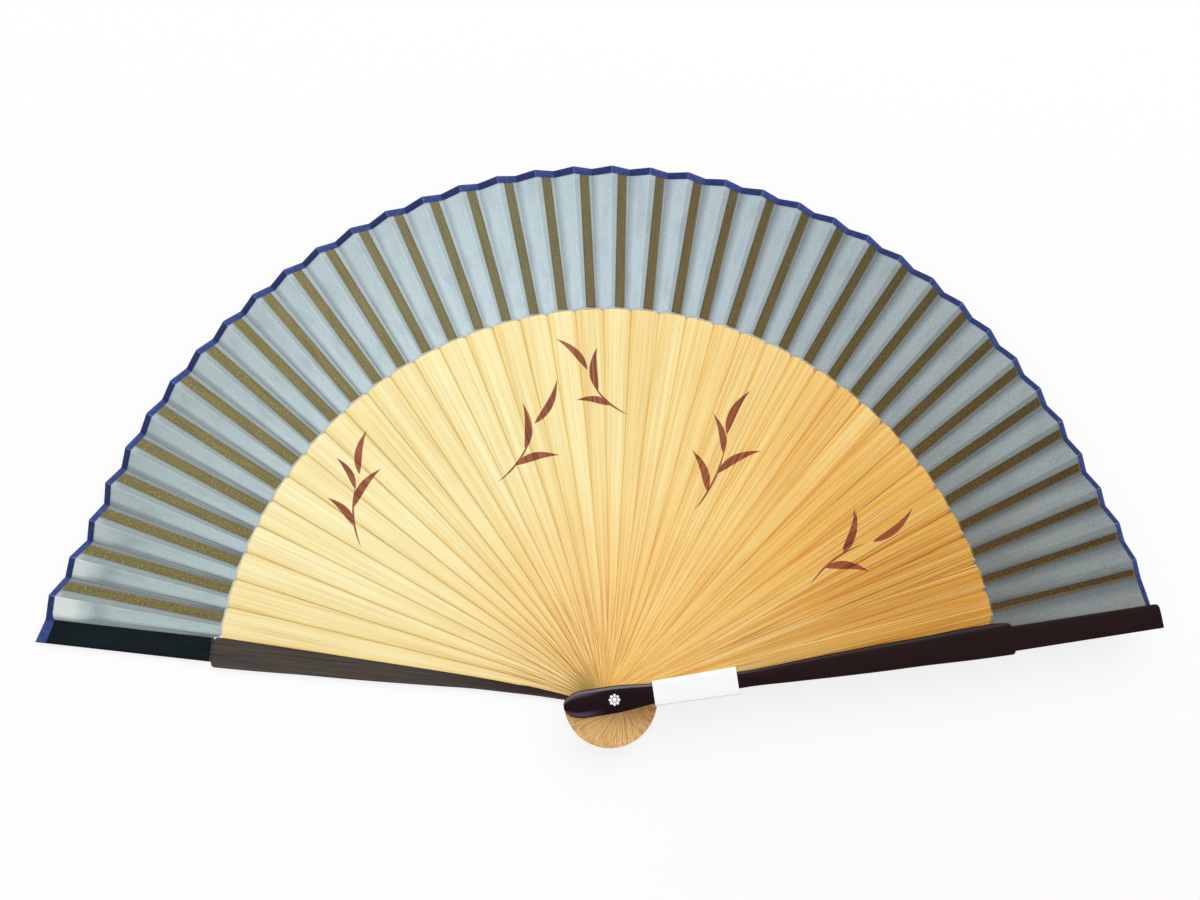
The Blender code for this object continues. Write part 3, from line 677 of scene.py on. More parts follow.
def navy():
    """Woven tape with a fine slanting rib. Painted light: paler on the pleats that lie on a rib (attribute "glued"),
    darker on the free ones, and a painted highlight along the ridge folds (attribute "fold").
    """
    s = Surface("navy_tape", 0.6, Sheen_Weight=0.2, Specular_IOR_Level=0.2)
    u, v, _ = s.split(s.uv("cloth"))
    slant = s.plus(s.times(u, 5200.0), s.times(v, 5200.0))
    cords = s.math("MULTIPLY_ADD", s.math("SINE", slant), 0.5, 0.5)
    patchy = s.streaks(u, 700.0, v, 700.0, 3.0, 0.6)
    # lit and shaded copies of the tape's blue, painted light: paler on pleats that lie on a rib, darker on free ones
    free = s.ramp(patchy, (0.3, (22, 34, 90)), (0.55, (31, 48, 108)), (0.75, (48, 68, 130)))
    glued = s.ramp(patchy, (0.3, (38, 56, 118)), (0.55, (51, 72, 138)), (0.75, (74, 96, 160)))
    s.colour = s.mix(s.attribute("glued"), free, glued)
    # painted highlight along the ridge folds
    s.paint(s.range(s.attribute("fold"), 0.55, 1.0), (112, 138, 196), 0.45)
    s.paint(cords, (22, 34, 92), 0.25)
    s.bump(cords, 0.00006, 0.5)
    return s.finish()


def lacquer(name, dark, light, pivot_colour, rim, highlight_share):
    """Dark lacquer over wood, with faint lengthwise grain, a painted highlight along one long edge, strongest near the
    pin, and a painted highlight round the tail's end. UV map "grain" holds metres across and along."""
    s = Surface(name, 0.34, Specular_IOR_Level=0.08)
    u, v, _ = s.split(s.uv("grain"))
    grain = s.streaks(u, 1500.0, v, 34.0, 4.0, 0.6)
    cloud = s.streaks(u, 200.0, v, 40.0, 2.0, 0.5, 4.0)
    s.colour = s.ramp(grain, (0.34, dark), (0.66, light))
    s.paint(s.range(v, 0.075, 0.015), pivot_colour)
    s.paint(s.range(cloud, 0.45, 0.8, 0.0, 0.3), light)
    across = s.attribute("across")
    # painted highlight: a pale line along one long edge, strongest near the pin
    upper = s.times(s.range(across, -0.70, -0.84), s.range(across, -0.99, -0.88))
    line = s.times(upper, s.range(v, 0.060, 0.010, 0.12, 1.0))
    s.paint(line, rim, highlight_share)
    away = s.size(across)
    # painted highlight: a lilac rim round the tail's end
    tail_highlight = s.times(s.range(away, 0.45, 0.72), s.range(away, 0.97, 0.80), s.range(v, -0.003, -0.012))
    s.paint(tail_highlight, (112, 88, 112), highlight_share * 0.65)
    s.bump(grain, 0.00005, 0.35)
    return s.finish(s.range(grain, 0.3, 0.7, 0.40, 0.28))


def silver():
    """Bright beads, with painted shade in the gaps at their feet."""
    s = Surface("silver_beads", 0.16, 1.0)
    spot = s.position()
    _, _, height = s.split(spot)
    speckle = s.noise(spot, 5200.0, 2.0, 0.5)
    s.colour = s.ramp(speckle, (0.35, (214, 214, 220)), (0.6, (252, 252, 252)))
    hollow_shade = s.range(s.minus(height, FAN_TOP), 0.00082, 0.00058)
    s.paint(hollow_shade, (70, 66, 74), 0.9)
    s.bump(speckle, 0.00002, 0.4)
    return s.finish(s.range(speckle, 0.3, 0.7, 0.10, 0.26))


def steel():
    s = Surface("pin_metal", 0.34, 1.0)
    x, y, z = s.split(s.position())
    turned = s.math("SQRT", s.plus(s.times(x, x), s.times(y, y)))
    rings = s.streaks(turned, 9000.0, z, 4000.0, 2.0, 0.6)
    s.bump(rings, 0.00003, 0.5)
    s.colour = s.ramp(rings, (0.3, (150, 148, 144)), (0.7, (206, 204, 200)))
    return s.finish(s.range(rings, 0.3, 0.7, 0.28, 0.45))


def paper():
    s = Surface("white_paper", 0.75, Specular_IOR_Level=0.2)
    spot = s.position()
    fibre = s.noise(spot, 1800.0, 4.0, 0.65)
    pulp = s.noise(spot, 260.0, 3.0, 0.5)
    s.colour = s.ramp(pulp, (0.3, (247, 248, 251)), (0.7, (253, 253, 254)))
    s.paint(s.range(fibre, 0.55, 0.75, 0.0, 0.4), (238, 240, 246))
    s.bump(s.plus(fibre, s.times(pulp, 2.0)), 0.00005, 0.4)
    return s.finish()


def seen_rays(tree):
    """1 for the rays that the camera, a shiny surface or a clear one sees by."""
    path = add_node(tree, "LightPath")
    seen = path.outputs["Is Camera Ray"]
    for name in ("Is Glossy Ray", "Is Transmission Ray"):
        seen = add_node(tree, "Math", seen, path.outputs[name], operation="MAXIMUM").outputs[0]
    return seen


FLOOR_GLOW = 0.80


def floor_material():
    """A pale table top. Seen directly it glows a little, so that its shadows stay faint."""
    s = Surface("pale_table", 0.85, Specular_IOR_Level=0.1)
    x, y, _ = s.split(s.position())
    drift = s.noise(s.joined(x, y), 3.0, 2.0, 0.5)
    # painted shadow: a faint pink shade on the table below and right of the pin, where the front guard's shadow falls
    rosy_shadow = s.times(s.range(x, -0.05, 0.10), s.range(y, 0.06, -0.03))
    s.colour = s.ramp(drift, (0.3, (250, 250, 250)), (0.7, (252, 252, 252)))
    s.paint(rosy_shadow, (253, 240, 239), 0.8)
    material = s.finish()
    glow = s.node("Emission", WHITE, 1.0)
    lit_share = s.times(seen_rays(s.tree), FLOOR_GLOW)
    choice = s.node("MixShader", lit_share, s.shader.outputs[0], glow.outputs[0])
    s.tree.links.new(choice.outputs[0], s.tree.nodes["Material Output"].inputs["Surface"])
    return material


SILK = silk()
SILK_ON_GUARD = glued_silk()
NAVY = navy()
PAPER = paper()
SILVER = silver()
PIN_METAL = steel()
# The last two: the colour of the painted edge highlight and its strength
FRONT_LACQUER = lacquer("front_lacquer", (22, 8, 9), (34, 14, 15), (24, 4, 7), (132, 128, 134), 0.8)
BACK_LACQUER = lacquer("back_lacquer", (58, 52, 48), (84, 76, 69), (50, 32, 38), (96, 88, 96), 0.3)


# ---- ribs
# How near a rib must be to a sprig, in degrees, to bear its strokes
SPRIG_MARGIN = 7


def strokes_on(k):
    """The painted strokes that can reach rib k."""
    found = []
    for strokes in map(sprig_strokes, SPRIGS):
        angles = []
        for x, y, heading, length, _, _ in strokes:
            for share in (0, 0.5, 1):
                px, py = np.array([x, y]) + heading_of(heading) * length * share
                angles.append(math.degrees(math.atan2(py, px)))
        if min(angles) - SPRIG_MARGIN < rib_angle(k) < max(angles) + SPRIG_MARGIN:
            found += strokes
    return found


BAMBOO = {}


def bamboo_for(k):
    strokes = strokes_on(k)
    key = tuple(strokes)
    if key not in BAMBOO:
        BAMBOO[key] = bamboo("bamboo_%d" % len(BAMBOO), strokes)
    return BAMBOO[key]


# A rib's points across, from edge to edge, and how much its edges are rounded there
ACROSS = np.array([-1.0, -0.97, -0.88, -0.62, -0.31, 0.0, 0.31, 0.62, 0.88, 0.97, 1.0])
EDGE_DROP = np.array([0.00014, 0.00004, 0, 0, 0, 0, 0, 0, 0, 0.00004, 0.00014])


def rib_piece(k):
    """Rib k: a crowned, slightly twisted blade, and the strip past its shoulder on which the silk is glued."""
    tip = edge_radius(rib_steps(k)) - 0.0022
    lower = stick_stations(RIB_TAIL, SHOULDER, ARC_ALONG, (7, 46, 10))
    half = stick_half(lower, RIB_HALF, BLADE_WIDTH, RIB_TAIL, SHOULDER, ARC_ALONG, ARC_ACROSS)
    upper = np.concatenate([[SHOULDER + 0.0002, SHOULDER + 0.0006], np.linspace(SHOULDER + 0.004, tip, 10)])
    upper_half = np.interp(upper, [SHOULDER, tip], [STRIP_FOOT_HALF, STRIP_TIP_HALF])
    upper_half[0] = STRIP_FOOT_HALF + 0.0002
    along = np.concatenate([lower, upper])
    half = np.concatenate([half, upper_half])
    wave = 0.00010 * np.sin(along * 60 + k * 1.7) * np.clip(along / SHOULDER, 0, 1)
    x = half[:, None] * ACROSS[None, :]
    if k in (1, RIBS):
        towards_guard = ACROSS < 0 if k == 1 else ACROSS > 0
        wider = 1 + (GUARD_SIDE_WIDER - 1) * ((along > WIDER_FROM) & (along <= SHOULDER))
        x = np.where(towards_guard[None, :], x * wider[:, None], x)
    slope = tilt_at(along, k)[:, None]
    middle = rib_height(k) - x * slope
    crown = (RIB_CROWN * (half / RIB_HALF) ** 2)[:, None] * (1 - ACROSS ** 2)[None, :]
    narrow = np.minimum(half / 0.002, 1)[:, None]
    top = middle + RIB_THICK / 2 + crown - EDGE_DROP[None, :] * narrow
    bottom = middle - RIB_THICK / 2 + crown * 0.5
    bow = wave[:, None] * ACROSS[None, :] * 0.4
    radial = np.broadcast_to(along[:, None], x.shape)
    angle = rib_angle(k)
    upper_points = on_stick(angle, x, radial, top + bow).reshape(-1, 3)
    lower_points = on_stick(angle, x, radial, bottom + bow).reshape(-1, 3)
    rows, columns = x.shape
    points = np.concatenate([upper_points, lower_points])
    below = rows * columns
    faces = [*grid_faces(rows, columns, 0, flip=True), *grid_faces(rows, columns, below)]
    for i in range(rows - 1):
        a, b = i * columns, (i + 1) * columns
        faces.append((a, b, b + below, a + below))
        a, b = a + columns - 1, b + columns - 1
        faces.append((b, a, a + below, b + below))
    for j in range(columns - 1):
        faces.append((j + 1, j, j + below, j + 1 + below))
        a = (rows - 1) * columns + j
        faces.append((a, a + 1, a + 1 + below, a + below))
    obj = make_object("rib_blade_%02d" % k, points, faces, [bamboo_for(k)])
    rng = np.random.default_rng(100 + k)
    shift = rng.uniform(0, 40, 2)
    flat = np.stack([x + 0.02 * k + shift[0] * 0.001, radial + 0 * x], axis=-1).reshape(-1, 2)
    add_uv(obj, "grain", np.concatenate([flat, flat]))
    add_uv(obj, "plan", points[:, :2])
    spread = np.broadcast_to(ACROSS[None, :], x.shape).ravel()
    add_values(obj, "across", np.concatenate([spread, spread]))
    add_values(obj, "tone", np.full(len(points), rng.uniform(0, 1) ** 1.5))
    add_values(obj, "round", np.full(len(points), rib_steps(k) / STEPS))
    sharpen(obj, 50)
    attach(obj, "rib_%02d_body" % k)
    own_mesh(obj)
    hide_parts("rib_%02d" % k)
    return obj


for k in range(1, RIBS + 1):
    rib_piece(k)


# ---- leaf and binding
LEAF_ROWS = 26
# The silk on a guard: half its width, its height, and where it starts and ends
GUARD_SILK_HALF = 0.0040
BACK_SILK_HEIGHT = 0.0019
FRONT_SILK_HEIGHT = 0.01861
BACK_SILK_START = 0.1381
FRONT_SILK_START = 0.1415
BACK_SILK_END = 0.1961
# Where the columns of points stand, as shares of the way across: between the ribs, over a rib's strip, on the
# back guard, from the last rib to the front guard, and on that
FREE = np.array([0.0, 0.06, 0.14, 0.28, 0.44, 0.6, 0.76, 0.88, 0.95])
GLUED = np.array([0.0, 0.06, 0.16, 0.30, 0.42, 0.56, 0.70, 0.84, 0.94, 1.0])
ON_BACK = np.array([0.0, 0.1, 0.35, 0.65, 0.9])
TO_FRONT = np.array([0.0, 0.06, 0.14, 0.28, 0.44, 0.6, 0.76, 0.9, 1.0])
ON_FRONT = np.array([0.1, 0.4, 0.7, 1.0])
# Where the next blade's edge covers a blade, in steps from its middle
BLADE_EDGE_SHARE = 0.58


def hem_radius(places, k):
    """Where the silk starts: just past the arcs of the blades' shoulders, and a little lower at their corners,
    so that no gap shows where they tilt. A blade ends over the one below."""
    places = np.asarray(places, float)
    own = np.where(places < -BLADE_EDGE_SHARE, places + 1, places)
    lateral = np.abs(own) * STEP_RADIANS * SHOULDER
    past = np.clip((lateral - RIB_HALF + ARC_ACROSS) / ARC_ACROSS, 0, 0.98)
    corner = (0.0003 + 0.0005 * smooth((k - 24) / 8)) * smooth((lateral / RIB_HALF - 0.45) / 0.4)
    along = SHOULDER + HEM_GAP - ARC_ALONG * (1 - np.sqrt(1 - past ** 2)) - corner
    return np.hypot(along, lateral)


def fold(k, share):
    """A fold line beside rib k, `share` of a step counter-clockwise: its point at a radius, its outer radius."""
    def point(radius):
        height = rib_height(k) + SILK_LIFT + radius * math.sin(STEP_RADIANS * share) * tilt_at(radius, k)
        return on_stick(rib_angle(k) + STEP * share, 0, radius, height)

    return point, edge_radius(rib_steps(k) - share) + math.copysign(fold_reach(k), share)


def rows_between(first, last):
    """Rows from the hem to the outer edge, closer together at both ends; one column for each hem radius."""
    t = np.linspace(0, 1, LEAF_ROWS)
    t = (t - 0.35 * np.sin(2 * math.pi * t) / (2 * math.pi))[:, None]
    return np.asarray(first, float)[None, :] * (1 - t) + last * t


def between(shares, hems, first, last):
    """Columns of points between two fold lines, each given as (its point at a radius, its outer radius)."""
    (start_at, start_edge), (end_at, end_edge) = first, last
    shares = shares[None, :, None]
    start = start_at(rows_between(hems, start_edge))
    end = end_at(rows_between(hems, end_edge))
    return start * (1 - shares) + end * shares


def guard_line(angle, lateral, height):
    return lambda radius: on_stick(angle, lateral, radius, height)


def leaf_columns(number):
    """The leaf's piece between two valleys: its columns of points, their place in rib steps from rib `number`,
    and which columns lie on a guard."""
    columns, places, guard = [], [], []

    def add(shares, at, hems, first, last, on_guard=False):
        columns.append(between(shares, hems, first, last))
        places.extend(at)
        guard.extend([on_guard] * len(shares))

    if number == 1:
        outer = (guard_line(BACK_ANGLE, BACK_SHIFT - GUARD_SILK_HALF, BACK_SILK_HEIGHT), BACK_SILK_END)
        start = (guard_line(BACK_ANGLE, BACK_SHIFT + GUARD_SILK_HALF, BACK_SILK_HEIGHT), BACK_SILK_END - BACK_TIP_CUT)
        hems = np.full(len(ON_BACK), BACK_SILK_START)
        add(ON_BACK, VALLEY_SHARE - 1 - 0.3 * (1 - ON_BACK), hems, outer, start, on_guard=True)
    else:
        start = fold(number - 1, -VALLEY_SHARE)
    if number <= RIBS:
        ridge, valley = fold(number, RIDGE_SHARE), fold(number, -VALLEY_SHARE)
        free = VALLEY_SHARE - 1 + (1 - VALLEY_SHARE - RIDGE_SHARE) * FREE
        hems = hem_radius(free, number)
        if number == 1:
            hems = hems + (BACK_SILK_START - hems) * (1 - smooth(FREE / 0.16))
        add(FREE, free, hems, start, ridge)
        glued = -RIDGE_SHARE + (RIDGE_SHARE + VALLEY_SHARE) * GLUED
        add(GLUED, glued, hem_radius(glued, number), ridge, valley)
    else:
        edge = edge_radius(STEPS)
        near = (guard_line(FRONT_ANGLE, FRONT_SHIFT - GUARD_SILK_HALF, FRONT_SILK_HEIGHT), edge)
        far = (guard_line(FRONT_ANGLE, FRONT_SHIFT + GUARD_SILK_HALF, FRONT_SILK_HEIGHT), edge)
        free = VALLEY_SHARE + 0.55 * TO_FRONT
        hems = hem_radius(np.minimum(free, BLADE_EDGE_SHARE), RIBS)
        hems = hems + (FRONT_SILK_START - hems) * smooth((TO_FRONT - 0.8) / 0.2)
        add(TO_FRONT, free, hems, start, near)
        hems = np.full(len(ON_FRONT), FRONT_SILK_START)
        add(ON_FRONT, free[-1] + 0.4 * ON_FRONT, hems, near, far, on_guard=True)
    return np.concatenate(columns, axis=1), np.array(places), np.array(guard)


def softened(grid, fixed):
    """Folds rounded a little between the hem and the outer edge, where they stay crisp: heights are averaged
    across, as if mirrored past the valleys where two pieces meet, apart from the fixed columns."""
    height = grid[:, :, 2].copy()
    weight = 0.24 * np.sin(math.pi * np.linspace(0.12, 1, len(grid)))[:, None] ** 0.7
    for _ in range(5):
        wide = np.concatenate([height[:, 1:2], height, height[:, -2:-1]], axis=1)
        new = weight * (wide[:, :-2] + wide[:, 2:]) + (1 - 2 * weight) * height
        new[:, fixed] = height[:, fixed]
        height = new
    grid = grid.copy()
    grid[:, :, 2] = height
    return grid


SAG, SAG_SPREAD, RIPPLE = 0.00012, 0.00022, 0.00010
# Shifts the weave from one piece to the next
WEAVE_SHIFT = 0.0137


def leaf_piece(number):
    """One piece of the silk, from valley to valley, with its tape."""
    grid, places, guard = leaf_columns(number)
    rows, columns = grid.shape[:2]
    rng = np.random.default_rng(500 + number)
    fixed = np.where(guard)[0]
    grid = softened(grid, fixed)
    share = np.linspace(0, 1, rows)
    from_ridge = np.clip((-RIDGE_SHARE - places) / 0.5, 0, 1) if number <= RIBS else 1.0
    free = np.where(guard, 0.0, from_ridge)
    inside = np.zeros(columns)
    spots = np.where(free > 0)[0]
    if len(spots) > 2:
        t = (places[spots] - places[spots[0]]) / (places[spots[-1]] - places[spots[0]])
        inside[spots] = np.sin(math.pi * t)
    sag = (SAG + SAG_SPREAD * rng.random()) * np.sin(math.pi * share) ** 0.7
    ripple = RIPPLE * np.sin(share * rng.uniform(5, 9) + rng.uniform(0, 6))
    grid[:, :, 2] -= (sag + ripple)[:, None] * inside[None, :]
    points = grid.reshape(-1, 3)
    faces = grid_faces(rows, columns, 0, flip=True)
    left, right = guard[:-1], guard[1:]
    zone = np.tile((left & right) | (left & (number == 1)) | (right & (number > RIBS)), rows - 1)
    obj = make_object("leaf_pleat_%02d" % number, points, faces, [SILK, SILK_ON_GUARD], zone.astype(int))
    radius = np.hypot(points[:, 0], points[:, 1])
    place = np.tile(places, rows)
    add_uv(obj, "fold", np.stack([place, radius], axis=1))
    reach = np.linalg.norm(grid, axis=2)
    add_uv(obj, "rim", np.stack([(reach - reach[0]).ravel(), (reach[-1] - reach).ravel()], axis=1))
    steps = END_STEP + number - 1 + places if number <= RIBS else rib_steps(RIBS) + places
    add_values(obj, "round", np.tile(np.clip(steps / STEPS, 0, 1), rows))
    spread = np.linalg.norm(np.diff(grid, axis=1), axis=2).mean(0)
    run = np.concatenate([[0], np.cumsum(spread)])
    add_uv(obj, "cloth", np.stack([np.tile(run, rows) + number * WEAVE_SHIFT, radius], axis=1))
    thick = obj.modifiers.new("thickness", "SOLIDIFY")
    thick.thickness = SILK_THICK
    thick.offset = 0
    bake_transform(obj)
    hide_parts("silk_leaf")
    tape = binding_piece(number, grid, run, places, guard)
    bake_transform(tape)
    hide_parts("edge_binding")
    return obj


# The tape's width round the fan, from the back guard (0) to the front one (1)
TAPE_WIDTHS = ((0.0, 0.0019), (0.25, 0.0021), (0.5, 0.0024), (0.75, 0.0020), (1.0, 0.0014))
TAPE_ON_BACK = 0.0031
TAPE_INNER, TAPE_THICK = 0.00009, 0.00011


def binding_piece(number, grid, run, places, guard):
    """The tape folded over the outer edge of one piece of the leaf."""
    columns = grid.shape[1]
    outer = grid[-1]
    run_in = outer - grid[-6]
    run_in /= np.linalg.norm(run_in, axis=1)[:, None]
    across = np.gradient(outer, axis=0)
    normal = np.cross(across, run_in)
    normal /= np.linalg.norm(normal, axis=1)[:, None]
    inner, skin = TAPE_INNER, TAPE_THICK
    shares, widths = zip(*TAPE_WIDTHS)
    width = np.interp((rib_steps(min(number, RIBS)) + np.zeros(columns)) / STEPS, shares, widths)
    if number == 1:
        width = np.interp(places, [VALLEY_SHARE - 1.05, VALLEY_SHARE - 0.9], [TAPE_ON_BACK, width[0]])
    profile = [
        (-1.0, 0.0, inner), (-1.0, 0.0, inner + skin), (-0.5, 0.0, inner + skin + 0.00004),
        (0.0, -0.0002, inner + skin), (0.0, 0.00014, inner * 0.6), (0.0, 0.00014, -inner * 0.6),
        (0.0, -0.0002, -inner - skin), (-0.5, 0.0, -inner - skin - 0.00003), (-0.97, 0.0, -inner - skin),
        (-0.97, 0.0, -inner), (0.0, -0.0003, -inner), (0.0, -0.0003, inner),
    ]
    rings = [outer + run_in * (a * width + b)[:, None] + normal * c for a, b, c in profile]
    points = np.stack(rings, axis=1).reshape(-1, 3)
    sides = len(profile)
    faces = tube_faces(columns, sides)
    obj = make_object("binding_%02d" % number, points, faces, [NAVY])
    middle = float(width.mean())
    flat = [(a * middle + b, c) for a, b, c in profile]
    lengths = np.cumsum([0] + [math.dist(flat[i], flat[i + 1]) for i in range(sides - 1)])
    uv = np.stack([np.repeat(run, sides) + number * WEAVE_SHIFT, np.tile(lengths, columns)], axis=1)
    add_uv(obj, "cloth", uv)
    # for the tape's painted light: which columns lie on a rib or guard, and how near each is to a ridge fold for the
    # painted highlight
    on_rib = ((places > -RIDGE_SHARE - 0.001) | guard).astype(float) if number <= RIBS else guard.astype(float)
    add_values(obj, "glued", np.repeat(on_rib, sides))
    fold_highlight = np.exp(-((places + RIDGE_SHARE) / 0.03) ** 2) if number <= RIBS else np.zeros(columns)
    add_values(obj, "fold", np.repeat(fold_highlight, sides))
    sharpen(obj, 60)
    return obj


for number in range(1, RIBS + 2):
    leaf_piece(number)


# ---- guards
# Stations round the tail, along the blade and at the step
GUARD_COUNTS = (12, 60, 7)
GUARD_CROWN = 0.00010
INNER_BEVEL = 0.00012
BLADE_EDGE, UPPER_EDGE = 0.0008, 0.00045
TAIL_DROP = 0.0007
STEP_DROP = 0.00025
TIP_CUT_RUN = 0.012
# Where the tip narrows: distance from its end, and how much on each side
TIP_ROUND = ((0.0010, 0.00010), (0.0004, 0.00040), (0.0, 0.0012))


def guard_section(middle, half, inner, outer, edge):
    """A guard's section: its inner face flat, its outer face crowned between rounded edges."""
    out = math.copysign(1, outer - inner)
    edge = min(edge, half * 0.8, abs(outer - inner) * 0.45)
    crown = GUARD_CROWN
    right = [(half - INNER_BEVEL, inner), (half, inner + out * INNER_BEVEL)]
    for turn in np.radians([0, 22.5, 45, 67.5, 90]):
        right.append((half - edge * (1 - math.cos(turn)), outer - out * (crown + edge * (1 - math.sin(turn)))))
    right.append((half * 0.55, outer - out * crown * 0.3))
    right.append((0.0, outer))
    left = [(-x, z) for x, z in reversed(right[:-1])]
    return [(middle + x, z) for x, z in right + left]


def guard_piece(
    name, angle, inner, outer, blade_half, width, tail_share, step, leaf_corner, tip, cut, shift, upper_half, surface
):
    """A lacquered guard. Its tip is `cut` shorter on its leaf side; past the step it is narrower and thinner.
    The step's corner is `leaf_corner` lower on the leaf side."""
    out = math.copysign(1, outer - inner)
    leaf_side = -out
    along = stick_stations(GUARD_TAIL, step, GUARD_CORNER, GUARD_COUNTS)
    tail_end = along[GUARD_COUNTS[0] - 1]
    half = stick_half(along, blade_half, width, GUARD_TAIL, step, GUARD_CORNER, GUARD_CORNER, tail_share)
    rings, where = [], []
    full = blade_half * tail_share
    for a, h in zip(along, half):
        slope = max(0.0, (a - step + LEAF_CORNER_RUN) / LEAF_CORNER_RUN) ** 2 * leaf_corner
        drop = TAIL_DROP * (1 - min(1.0, h / full)) ** 1.5 if a < tail_end else 0.0
        past = min(1.0, max(0.0, (a - step + GUARD_CORNER) / GUARD_CORNER))
        drop = drop + STEP_DROP * past * past
        ring = guard_section(0.0, h, inner, outer - out * drop, BLADE_EDGE)
        rings.append([(x - leaf_side * slope * max(0.0, leaf_side * x / h), z) for x, z in ring])
        where.append(np.full(len(rings[-1]), a))
    low, high = inner + out * 0.0004, outer - out * GUARD_STEP_DEPTH
    straight = (step + 0.0003, step + 0.002, *np.linspace(step + 0.005, tip - 0.0018, 14))
    stations = [(a, 0.0) for a in straight] + [(tip - short, thin) for short, thin in TIP_ROUND]
    for a, thin in stations:
        ring = guard_section(shift, upper_half, low, high - out * thin * 0.25, UPPER_EDGE)
        to_leaf = [leaf_side * (x - shift) / upper_half for x, _ in ring]
        near_tip = smooth((a - tip + TIP_CUT_RUN) / TIP_CUT_RUN)
        ring = [(x - leaf_side * thin * max(0.0, t) ** 2, z) for (x, z), t in zip(ring, to_leaf)]
        rings.append(ring)
        where.append(np.array([a - cut * near_tip * (t + 1) / 2 for t in to_leaf]))
    sides = len(rings[0])
    where = np.array(where)
    x = np.array([[p[0] for p in ring] for ring in rings])
    z = np.array([[p[1] for p in ring] for ring in rings])
    points = on_stick(angle, x, where, z).reshape(-1, 3)
    obj = make_object(name, points, tube_faces(len(rings), sides), [surface])
    add_uv(obj, "grain", np.stack([x.ravel(), where.ravel()], axis=1))
    reach = np.abs(x).max(1)[:, None]
    add_values(obj, "across", (x / reach).ravel())
    sharpen(obj, 42)
    return obj


back_guard = guard_piece(
    "back_guard_lacquered", BACK_ANGLE, GUARD_THICK, 0.0, BACK_GUARD_HALF, GUARD_WIDTH, TAIL_WIDTH_SHARE,
    BACK_STEP, 0.0, BACK_TIP, BACK_TIP_CUT, BACK_SHIFT, BACK_UPPER_HALF, BACK_LACQUER,
)
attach(back_guard, "back_side")
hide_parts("back_guard")
front_guard = guard_piece(
    "front_guard_lacquered", FRONT_ANGLE, FRONT_LOW, FAN_TOP, FRONT_GUARD_HALF, FRONT_WIDTH, FRONT_TAIL_WIDTH_SHARE,
    FRONT_STEP, FRONT_LEAF_CORNER, FRONT_TIP, FRONT_TIP_CUT, FRONT_SHIFT, FRONT_UPPER_HALF, FRONT_LACQUER,
)
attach(front_guard, "front_guard_body")
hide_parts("front_guard")


# ---- rosette, pin and band
BEAD_HEIGHT = 0.85


def bead(centre, radius, rings, sides, turn=0.0):
    """A faceted half bead on its flat foot."""
    points, faces = [], []
    for i in range(rings):
        lift = math.pi / 2 * i / rings
        for j in range(sides):
            a = 2 * math.pi * j / sides + turn + (math.pi / sides) * (i % 2)
            points.append((centre[0] + radius * math.cos(lift) * math.cos(a),
                           centre[1] + radius * math.cos(lift) * math.sin(a),
                           centre[2] + radius * math.sin(lift) * BEAD_HEIGHT))
    points.append((centre[0], centre[1], centre[2] + radius * BEAD_HEIGHT))
    for i in range(rings - 1):
        for j in range(sides):
            k = (j + 1) % sides
            a, b = i * sides, (i + 1) * sides
            if i % 2:
                faces += [(a + j, a + k, b + k), (a + j, b + k, b + j)]
            else:
                faces += [(a + j, a + k, b + j), (a + k, b + k, b + j)]
    top = len(points) - 1
    for j in range(sides):
        faces.append(((rings - 1) * sides + j, (rings - 1) * sides + (j + 1) % sides, top))
    faces.append(tuple(range(sides))[::-1])
    return points, faces


PETALS = 8
PETAL_RING, PETAL_RADIUS, PETAL_LIFT = 0.00151, 0.00060, 0.00040
GRAIN_RING, GRAIN_RADIUS, GRAIN_LIFT = 0.00104, 0.00021, 0.00062
HEART_RADIUS, HEART_LIFT = 0.00082, 0.00050
# The scalloped disc below the beads: heights and radii of its rings
DISC = ((0.0, 0.00176), (0.00035, 0.00182), (0.00052, 0.00168))
DISC_SIDES = 48
SCALLOP = 0.03


def rosette():
    """The silver flower: a middle bead, eight petals, small grains between them, and the disc that bears them."""
    base = FAN_TOP + 0.00005
    points, faces = [], []
    parts = [bead((0, 0, base + HEART_LIFT), HEART_RADIUS, 4, 10)]
    for i in range(PETALS):
        a = 2 * math.pi * i / PETALS
        centre = (PETAL_RING * math.cos(a), PETAL_RING * math.sin(a), base + PETAL_LIFT)
        parts.append(bead(centre, PETAL_RADIUS, 3, 9, a))
    for i in range(PETALS):
        a = 2 * math.pi * (i + 0.5) / PETALS
        centre = (GRAIN_RING * math.cos(a), GRAIN_RING * math.sin(a), base + GRAIN_LIFT)
        parts.append(bead(centre, GRAIN_RADIUS, 3, 6, a))
    disc = []
    for height, reach in DISC:
        for a in (2 * math.pi * j / DISC_SIDES for j in range(DISC_SIDES)):
            wave = 1 + SCALLOP * math.cos(PETALS * a)
            disc.append((reach * math.cos(a) * wave, reach * math.sin(a) * wave, base + height))
    parts.append((disc, tube_faces(len(DISC), DISC_SIDES)))
    for extra, shape in parts:
        offset = len(points)
        points += extra
        faces += [tuple(offset + i for i in f) for f in shape]
    obj = make_object("rosette_beads", points, faces, [SILVER], smooth=False)
    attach(obj, "back_side")
    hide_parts("pin_rosette")
    return obj


rosette()


BAND_START, BAND_END = 0.0135, 0.0426
BAND_THICK = 0.00018
BAND_ROOM = 0.00012
# How much wider the sleeve is than the guard in it on each side, at its end near the pin and at the far one
NEAR_SLACK, FAR_SLACK = 0.0006, 0.0017
BAND_CORNER = 0.00037


